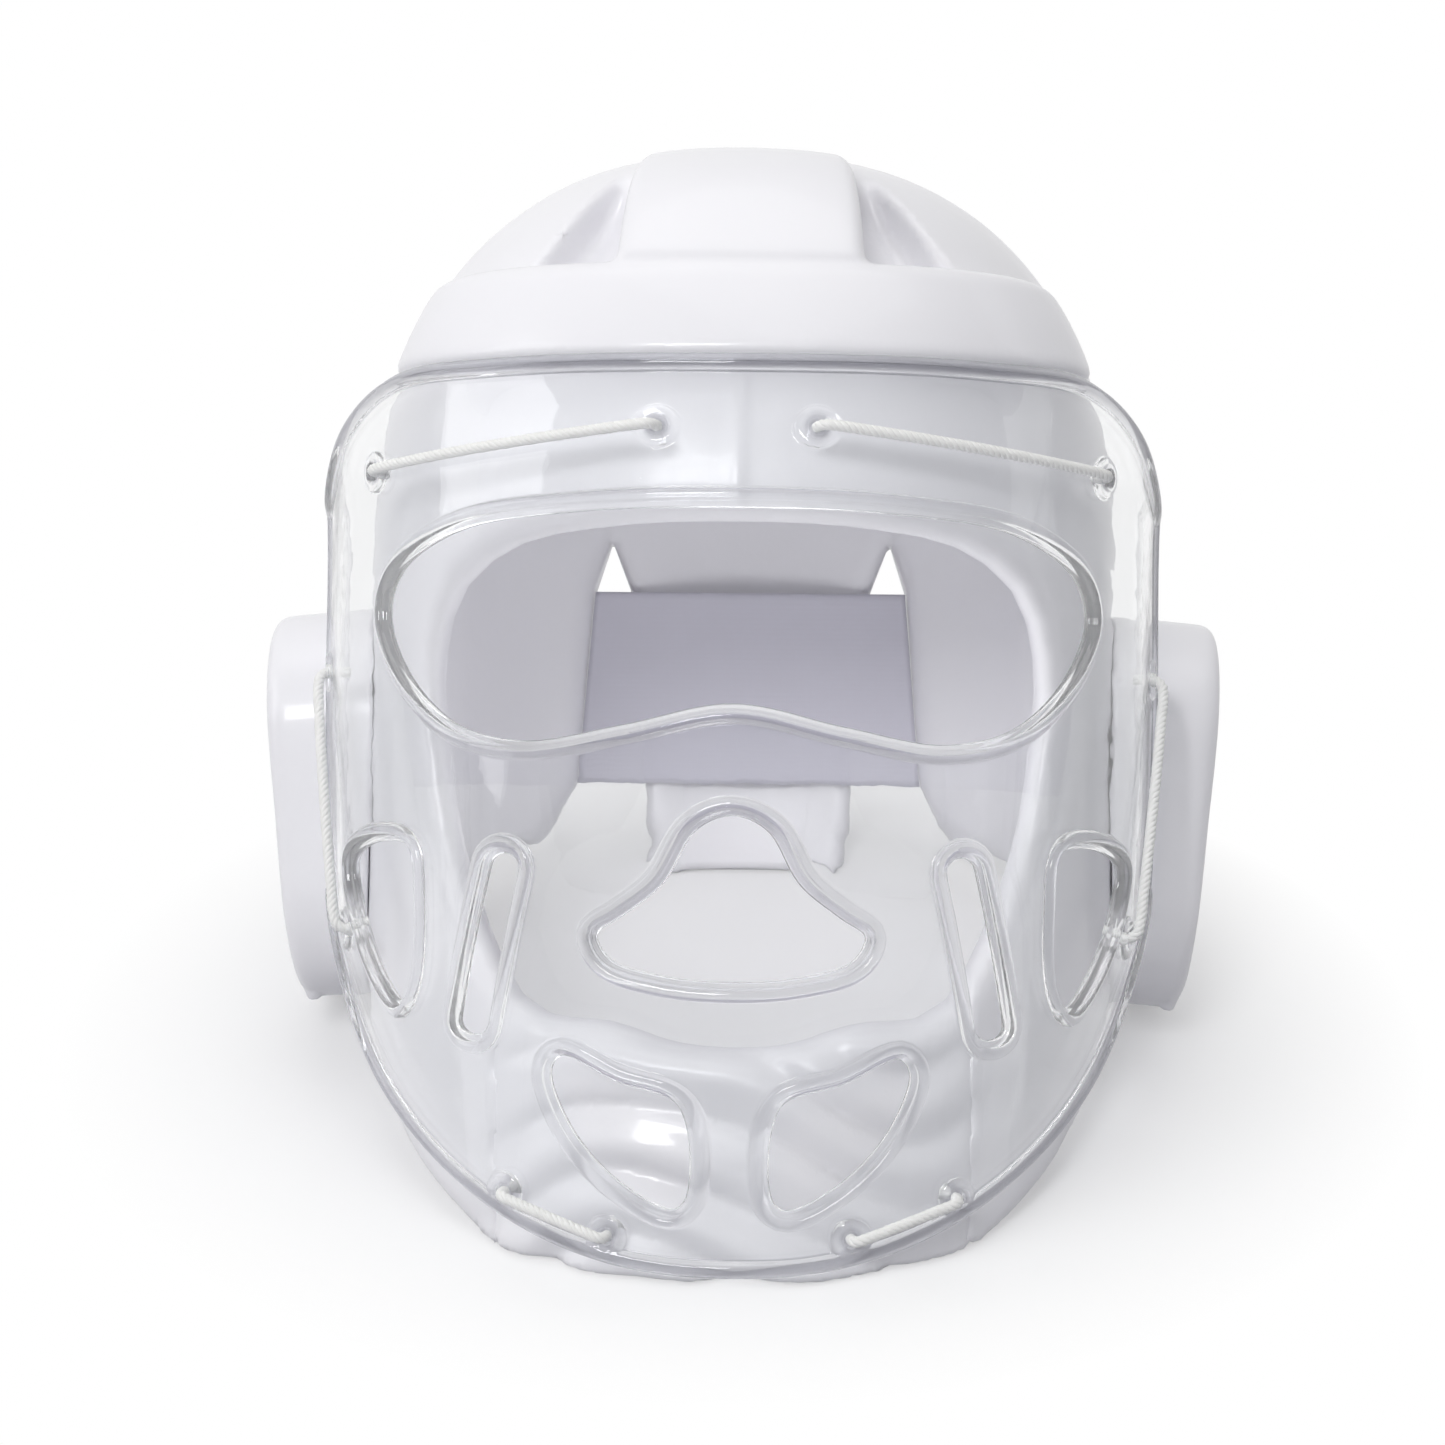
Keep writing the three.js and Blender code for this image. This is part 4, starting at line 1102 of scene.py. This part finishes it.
def bead_height(places, loops, rise, width):
    """The height of the beads that run outside these openings."""
    height = np.zeros(len(places))
    for loop in loops:
        share = loop_distance(places, loop) / width
        height = np.maximum(height, np.where(share > 0, rise * half_round(share), 0))
    return height


def rim_share(places, rim, bead):
    """How far places lie in from the rim, as a share of the width of its bead."""
    return -loop_distance(places, rim) / (bead * RIM_WIDTH_SHARE)


def sheet_net(rim, vents, holes, bead, step):
    """Points and triangles of the sheet's outer face, and its borders with the way that each one faces."""
    places = []
    fixed = []
    borders = []

    def add_loop(loop):
        first = len(places)
        places.extend(loop.tolist())
        numbers = list(range(first, first + len(loop)))
        fixed.extend(zip(numbers, numbers[1:] + numbers[:1]))
        return numbers

    rings = [(rim, -bead * RIM_WIDTH_SHARE, 1)]
    rings += [(vent, bead, -1) for vent in vents]
    rings += [(hole, BOSS_WIDTH, -1) for hole in holes]
    for loop, width, way in rings:
        borders.append((add_loop(loop), way))
        for share in BEAD_ROWS:
            add_loop(offset_loop(loop, share * width))

    width = SHIELD_WRAP * math.pi / 2 + step
    u, v = np.meshgrid(np.arange(-width, width, step), np.arange(-SHIELD_DEPTH, SHIELD_TOP, step))
    u = u + (np.round(v / step).astype(int) % 2) * step / 2
    spots = np.stack([u.ravel(), v.ravel()], axis=1)
    room = -loop_distance(spots, rim) - bead * RIM_ROOM_SHARE
    for loop, width, way in rings[1:]:
        room = np.minimum(room, loop_distance(spots, loop) - width * BEAD_ROOM_SHARE)
    margin = step * SPOT_MARGIN_SHARE
    places.extend(spots[room > margin].tolist())

    places = [Vector(place) for place in places]
    points, _, faces, origin, _, _ = delaunay_2d_cdt(places, fixed, [], 0, 1e-5)
    points = np.array([tuple(point) for point in points])
    number = {source: index for index, sources in enumerate(origin) for source in sources}
    borders = [([number[index] for index in numbers], way) for numbers, way in borders]
    faces = np.array([face for face in faces if len(face) == 3])
    middle = points[faces].mean(axis=1)
    keep = loop_distance(middle, rim) < 0
    for loop in vents + holes:
        keep &= loop_distance(middle, loop) > 0
    faces = faces[keep]
    a, b, c = (points[faces[:, k]] for k in range(3))
    area = (b[:, 0] - a[:, 0]) * (c[:, 1] - a[:, 1]) - (c[:, 0] - a[:, 0]) * (b[:, 1] - a[:, 1])
    faces[area < 0] = faces[area < 0][:, ::-1]
    return points, faces, borders


def painted_edge_shade(places, rim, vents, holes, bead):
    """How much painted shade each place takes: darker plastic at the rim and beads stands in for the dark
    refraction at the edges, and a darker ring stands in for the shadow in each lace hole.
    """
    shade = BEAD_PAINTED_SHADE * bead_height(places, vents, 1.0, bead)
    shade = np.maximum(shade, smooth_step(1 - rim_share(places, rim, bead), *RIM_PAINTED_SHADE_FADE))
    for hole in holes:
        shade = np.maximum(shade, 1 - smooth_step(loop_distance(places, hole), *HOLE_PAINTED_SHADE_FADE))
    return shade


def build_sheet(settings):
    """Points round, up and out, the faces and the painted shade of the shield's sheet with its beads."""
    rim, vents, holes = shield_loops()
    bead = settings.bead_width / MM
    rise = settings.bead_raise / MM
    wall = settings.thickness / MM
    points, faces, borders = sheet_net(rim, vents, holes, bead, settings.mesh_step / MM)
    outset = bead_height(points, vents, rise, bead)
    outset = np.maximum(outset, bead_height(points, holes, BOSS_RAISE_SHARE * rise, BOSS_WIDTH))
    inward = rim_share(points, rim, bead)
    outset = np.maximum(outset, np.where(inward > 0, RIM_RAISE_SHARE * rise * half_round(inward), 0))

    count = len(points)
    places = [points, points]
    outsets = [outset, np.full(count, -wall)]
    all_faces = [list(face) for face in faces] + [list(face + count)[::-1] for face in faces]
    total = count * 2
    for border, way in borders:
        rows = [border]
        for angle in np.radians(EDGE_ANGLES):
            row = grown(points[border], way * wall / 2 * math.cos(angle))
            places.append(row)
            outsets.append(np.full(len(row), -wall / 2 + wall / 2 * math.sin(angle)))
            rows.append(list(range(total, total + len(row))))
            total += len(row)
        rows.append([index + count for index in border])
        for upper, lower in zip(rows, rows[1:]):
            for index in range(len(upper)):
                after = (index + 1) % len(upper)
                quad = [upper[index], lower[index], lower[after], upper[after]]
                all_faces.append(quad if way > 0 else quad[::-1])
    places = np.vstack(places)
    return places, np.concatenate(outsets), all_faces, painted_edge_shade(places, rim, vents, holes, bead)


# Lace cords.
def lace_path(route, side, radius, boss):
    """Points of a lace: out of one hole, over the shield and into the next."""
    start, end = (np.array(shield_place(*place)) for place in route)
    over = radius + CLEARANCE + boss
    under = -LACE_END_DEPTH - radius
    turn = over * LACE_TURN_SHARE
    outsets = [under, 0, turn] + [over] * (len(LACE_SHARES) - 6) + [turn, 0, under]
    front_view = np.array([start + (end - start) * share for share in LACE_SHARES])
    places = on_sheet(front_view) * (side, 1)
    return shield_points(places[:, 0], places[:, 1], np.array(outsets))


def cord_tree():
    """Twisted strands laid round a path."""
    tree = bpy.data.node_groups.new("Twisted Cord", "GeometryNodeTree")
    add_sockets(tree, "INPUT", (
        ("Geometry", "Geometry"),
        ("Cord Radius", "Float", 0.00125),
        ("Strands", "Int", 4),
        ("Lay", "Float", 0.006),
        ("Step", "Float", 0.0006),
        ("Material", "Material"),
    ))
    add_sockets(tree, "OUTPUT", (("Geometry", "Geometry"),))
    given = add_node(tree, "NodeGroupInput").outputs

    resample = add_node(tree, "GeometryNodeResampleCurve", {
        "Curve": given["Geometry"], "Length": given["Step"],
    }, mode="LENGTH")
    strands = add_node(tree, "GeometryNodeDuplicateElements", {
        "Geometry": resample.outputs["Curve"], "Amount": given["Strands"],
    }, domain="SPLINE")

    length = add_node(tree, "GeometryNodeSplineParameter").outputs["Length"]
    turns = math_node(tree, "DIVIDE", length, given["Lay"])
    share = math_node(tree, "DIVIDE", strands.outputs["Duplicate Index"], given["Strands"])
    angle = math_node(tree, "MULTIPLY", math_node(tree, "ADD", turns, share), 2 * math.pi)
    swing = math_node(tree, "MULTIPLY", given["Cord Radius"], STRAND_SWING_SHARE)
    normal = add_node(tree, "GeometryNodeInputNormal").outputs["Normal"]
    tangent = add_node(tree, "GeometryNodeInputTangent").outputs["Tangent"]
    sideways = vector_node(tree, "CROSS_PRODUCT", {0: tangent, 1: normal})
    parts = []
    for direction, operation in ((normal, "COSINE"), (sideways, "SINE")):
        amount = math_node(tree, "MULTIPLY", math_node(tree, operation, angle, 0.0), swing)
        parts.append(vector_node(tree, "SCALE", {0: direction, "Scale": amount}))
    offset = vector_node(tree, "ADD", dict(enumerate(parts)))
    move = add_node(tree, "GeometryNodeSetPosition", {
        "Geometry": strands.outputs["Geometry"], "Offset": offset,
    })

    radius = math_node(tree, "MULTIPLY", given["Cord Radius"], STRAND_RADIUS_SHARE)
    profile = add_node(tree, "GeometryNodeCurvePrimitiveCircle", {
        "Resolution": STRAND_SIDES, "Radius": radius,
    })
    sweep = add_node(tree, "GeometryNodeCurveToMesh", {
        "Curve": move.outputs["Geometry"], "Profile Curve": profile.outputs["Curve"], "Fill Caps": True,
    })
    realize = add_node(tree, "GeometryNodeRealizeInstances", {"Geometry": sweep.outputs["Mesh"]})
    paint = add_node(tree, "GeometryNodeSetMaterial", {
        "Geometry": realize.outputs["Geometry"], "Material": given["Material"],
    })
    add_node(tree, "NodeGroupOutput", {"Geometry": paint.outputs["Geometry"]})
    return tree


def path_curve(name, points):
    curve = bpy.data.curves.new(name, "CURVE")
    curve.dimensions = "3D"
    spline = curve.splines.new("BEZIER")
    spline.bezier_points.add(len(points) - 1)
    for bezier, point in zip(spline.bezier_points, points):
        bezier.co = point
        bezier.handle_left_type = "AUTO"
        bezier.handle_right_type = "AUTO"
    curve.resolution_u = 6
    return add_object(name, curve)


def grown_from_tree(holder, tree, values):
    """The plain mesh that a node tree makes of an object, which is then dropped."""
    modifier = holder.modifiers.new(tree.name, "NODES")
    modifier.node_group = tree
    for item in tree.interface.items_tree:
        if item.in_out == "INPUT" and item.name in values:
            modifier[item.identifier] = values[item.name]
    evaluated = holder.evaluated_get(bpy.context.evaluated_depsgraph_get())
    mesh = bpy.data.meshes.new_from_object(evaluated)
    name = holder.name
    holder.modifiers.remove(modifier)
    bpy.data.objects.remove(holder)
    mesh.name = name
    shade_smooth(mesh)
    return add_object(name, mesh)


# Back band.
def band_net():
    """Points and faces of the band, and its flat places for the weave."""
    inner_half = SHELL_HALF_WIDTH - FOAM
    share = (FLAP_TOP_HALF / inner_half) ** PLAN_POWER
    rear = (SHELL_BACK - FOAM) * (1 - share) ** (1 / PLAN_POWER) - CLEARANCE
    across, up = np.meshgrid(np.linspace(-1, 1, BAND_COLUMNS), np.linspace(0, 1, BAND_ROWS))
    x = across * (PANEL_EDGE - PANEL_LEAN * up - CLEARANCE)
    z = BAND_TOP - BAND_HEIGHT * (1 - up)
    bow = BAND_BOW * (1 - (x / (PANEL_EDGE + BAND_THICKNESS)) ** 2)
    hem = np.minimum(up, 1 - up) * BAND_HEIGHT
    thick = BAND_THICKNESS * (BAND_HEM_SHARE + BAND_SWELL_SHARE * smooth_step(hem, 0, BAND_HEM))
    middle = rear - BAND_THICKNESS / 2 + bow
    sides = [np.stack([x, middle + way * thick / 2, z], axis=-1).reshape(-1, 3) for way in (-1, 1)]

    count = x.size
    numbers = np.arange(count).reshape(x.shape)
    quads = np.stack([numbers[:-1, :-1], numbers[:-1, 1:], numbers[1:, 1:], numbers[1:, :-1]], axis=-1)
    front = quads.reshape(-1, 4)
    rim = np.concatenate([numbers[0], numbers[1:, -1], numbers[-1, -2::-1], numbers[-2:0:-1, 0]])
    after = np.roll(rim, -1)
    edge = np.stack([after, rim, rim + count, after + count], axis=1)
    flat = np.stack([x.ravel() / BAND_HEIGHT, z.ravel() / BAND_HEIGHT], axis=1)
    return np.vstack(sides), np.vstack([front, front[:, ::-1] + count, edge]), np.vstack([flat, flat])


# Stage.
def build_world(scene):
    """White behind the object, and for what it mirrors a studio that is duskier on the camera's side."""
    world = bpy.data.worlds.new("white_studio")
    world.use_nodes = True
    scene.world = world
    tree = world.node_tree
    tree.nodes.clear()
    rays = add_node(tree, "ShaderNodeLightPath").outputs
    place = add_node(tree, "ShaderNodeTexCoord").outputs["Generated"]
    rearward = add_node(tree, "ShaderNodeSeparateXYZ", {"Vector": place}).outputs["Y"]
    ramp = add_node(tree, "ShaderNodeValToRGB")
    dusk, white = ramp.color_ramp.elements
    dusk.position = DUSK_END
    dusk.color = DUSK
    white.position = WHITE_START
    white.color = WHITE
    share = math_node(tree, "MULTIPLY", math_node(tree, "ADD", rearward, 1.0), 0.5)
    feed(tree, share, ramp.inputs["Fac"])
    studio = ramp.outputs["Color"]
    seen, lit, soft = (
        add_node(tree, "ShaderNodeBackground", {"Color": color, "Strength": strength}).outputs["Background"]
        for color, strength in ((WHITE, 1.0), (studio, 1.0), (studio, SOFT_STRENGTH))
    )
    around = mixed_shaders(tree, rays["Is Diffuse Ray"], lit, soft)
    surface = mixed_shaders(tree, rays["Is Camera Ray"], around, seen)
    add_node(tree, "ShaderNodeOutputWorld", {"Surface": surface})


def aimed_object(name, data, place, target):
    holder = add_object(name, data)
    holder.location = place
    holder.rotation_euler = (target - Vector(place)).to_track_quat("-Z", "Y").to_euler()
    return holder


def add_lights(settings):
    lights = (
        ("top_light", (0.05, 0.05, 1.3), 1.1, 0.8, settings.top_power, True),
        ("key_light", (-1.1, -0.45, 0.75), 0.6, 0.9, settings.key_power, True),
        ("fill_light", (-0.22, -1.05, 0.9), 0.35, 0.3, settings.fill_power, True),
        ("inner_light", to_row([INNER_LIGHT_PLACE])[0], 0.08, 0.08, settings.inner_power, False),
    )
    for name, place, width, height, power, shows in lights:
        light = bpy.data.lights.new(name, "AREA")
        light.shape = "RECTANGLE"
        light.size = width
        light.size_y = height
        light.energy = power
        holder = aimed_object(name, light, place, LIGHT_AIM)
        holder.visible_camera = shows
        holder.visible_glossy = shows
        holder.visible_transmission = shows


def add_camera(scene):
    camera = bpy.data.cameras.new("camera")
    camera.lens = CAMERA_LENS
    camera.sensor_width = CAMERA_SENSOR
    place, target = (Vector(point) for point in to_row([CAMERA_PLACE, CAMERA_AIM]))
    scene.camera = aimed_object("camera", camera, place, target)


# Operators.
class HEADGEAR_OT_foam(bpy.types.Operator):
    """Builds the foam shell, chin guard, brow pad and ear pads"""

    bl_idname = "headgear.foam"
    bl_label = "Foam Pieces"

    def execute(self, context):
        settings = context.scene.headgear_foam
        material = foam_material(settings, dipped_skin_group())
        for name, node, field, (low, high), cell_name, side in FOAM_PIECES:
            cell = getattr(settings, cell_name) / MM
            points, quads = foam_mesh(lambda x, y, z: field(x, y, z, settings), low, high, cell)
            if side < 0:
                points = points * (-1, 1, 1)
                quads = quads[:, ::-1]
            piece = mesh_object(name, to_row(points), quads, material)
            stand_for(piece, "dipped_foam", node)
        return {"FINISHED"}


class HEADGEAR_OT_shield(bpy.types.Operator):
    """Builds the clear face shield with its beads and holes"""

    bl_idname = "headgear.shield"
    bl_label = "Face Shield"

    def execute(self, context):
        settings = context.scene.headgear_shield
        material = shield_material(settings, bpy.data.node_groups["Dipped Skin"])
        places, outsets, faces, shade = build_sheet(settings)
        points = to_row(shield_points(places[:, 0], places[:, 1], outsets))
        piece = mesh_object("clear_shield", points, faces, material)
        # Painted shade per point: darker at the rim, beads and lace holes.
        layer = piece.data.attributes.new("painted_edge_shade", "FLOAT", "POINT")
        layer.data.foreach_set("value", shade)
        stand_for(piece, "clear_shield", "face_shield")
        return {"FINISHED"}


class HEADGEAR_OT_laces(bpy.types.Operator):
    """Builds the laces that hold the shield to the foam"""

    bl_idname = "headgear.laces"
    bl_label = "Laces"

    def execute(self, context):
        settings = context.scene.headgear_soft
        boss = context.scene.headgear_shield.bead_raise / MM * BOSS_RAISE_SHARE
        finish = {"Roughness": 0.7, "Sheen Weight": 0.2}
        tree = cord_tree()
        values = {
            "Cord Radius": settings.lace_radius,
            "Strands": settings.lace_strands,
            "Lay": settings.lace_lay,
            "Material": new_material("braided_cord", settings.lace_color, finish)[0],
        }
        for place, route in LACE_ROUTES.items():
            for side, word in ((1, "right"), (-1, "left")):
                path = to_row(lace_path(route, side, settings.lace_radius / MM, boss))
                piece = grown_from_tree(path_curve(f"cord_{place}_{word}", path), tree, values)
                stand_for(piece, "lace_cord", f"lace_{place}_{word}")
        return {"FINISHED"}


class HEADGEAR_OT_band(bpy.types.Operator):
    """Builds the elastic band at the back"""

    bl_idname = "headgear.band"
    bl_label = "Back Band"

    def execute(self, context):
        material = webbing_material(context.scene.headgear_soft)
        points, faces, flat = band_net()
        piece = mesh_object("elastic_band", to_row(points), faces, material)
        layer = piece.data.uv_layers.new(name="weave")
        corners = np.empty(len(piece.data.loops), int)
        piece.data.loops.foreach_get("vertex_index", corners)
        layer.data.foreach_set("uv", flat[corners].ravel())
        stand_for(piece, "elastic_webbing", "back_band")
        return {"FINISHED"}


class HEADGEAR_OT_stage(bpy.types.Operator):
    """Sets up the floor, the light and the camera"""

    bl_idname = "headgear.stage"
    bl_label = "Stage"

    def execute(self, context):
        settings = context.scene.headgear_stage
        context.scene.view_settings.view_transform = "Standard"
        ways = ((-1, -1), (1, -1), (1, 1), (-1, 1))
        corners = np.array([(x * FLOOR_HALF, y * FLOOR_HALF, -FLOOR_DROP) for x, y in ways])
        floor = mesh_object("floor", corners, [[0, 1, 2, 3]], floor_material(settings))
        build_world(context.scene)
        add_lights(settings)
        add_camera(context.scene)
        return {"FINISHED"}


class HEADGEAR_PT_panel(bpy.types.Panel):
    """Lists the steps that build the headgear"""

    bl_idname = "HEADGEAR_PT_panel"
    bl_label = "Sparring Headgear"
    bl_space_type = "VIEW_3D"
    bl_region_type = "UI"
    bl_category = "Headgear"

    def draw(self, context):
        for operator in OPERATORS:
            self.layout.operator(operator.bl_idname)


SETTINGS = {
    "headgear_foam": FoamSettings,
    "headgear_shield": ShieldSettings,
    "headgear_soft": SoftSettings,
    "headgear_stage": StageSettings,
}
OPERATORS = (HEADGEAR_OT_foam, HEADGEAR_OT_shield, HEADGEAR_OT_laces, HEADGEAR_OT_band, HEADGEAR_OT_stage)


def register():
    for settings in SETTINGS.values():
        bpy.utils.register_class(settings)
    for cls in (*OPERATORS, HEADGEAR_PT_panel):
        bpy.utils.register_class(cls)
    for name, settings in SETTINGS.items():
        setattr(bpy.types.Scene, name, PointerProperty(type=settings))


def unregister():
    for name in SETTINGS:
        delattr(bpy.types.Scene, name)
    for cls in (HEADGEAR_PT_panel, *reversed(OPERATORS)):
        bpy.utils.unregister_class(cls)
    for settings in SETTINGS.values():
        bpy.utils.unregister_class(settings)


def main():
    register()
    bpy.ops.headgear.stage()
    bpy.ops.headgear.foam()
    bpy.ops.headgear.shield()
    bpy.ops.headgear.laces()
    bpy.ops.headgear.band()


if __name__ == "__main__":
    main()
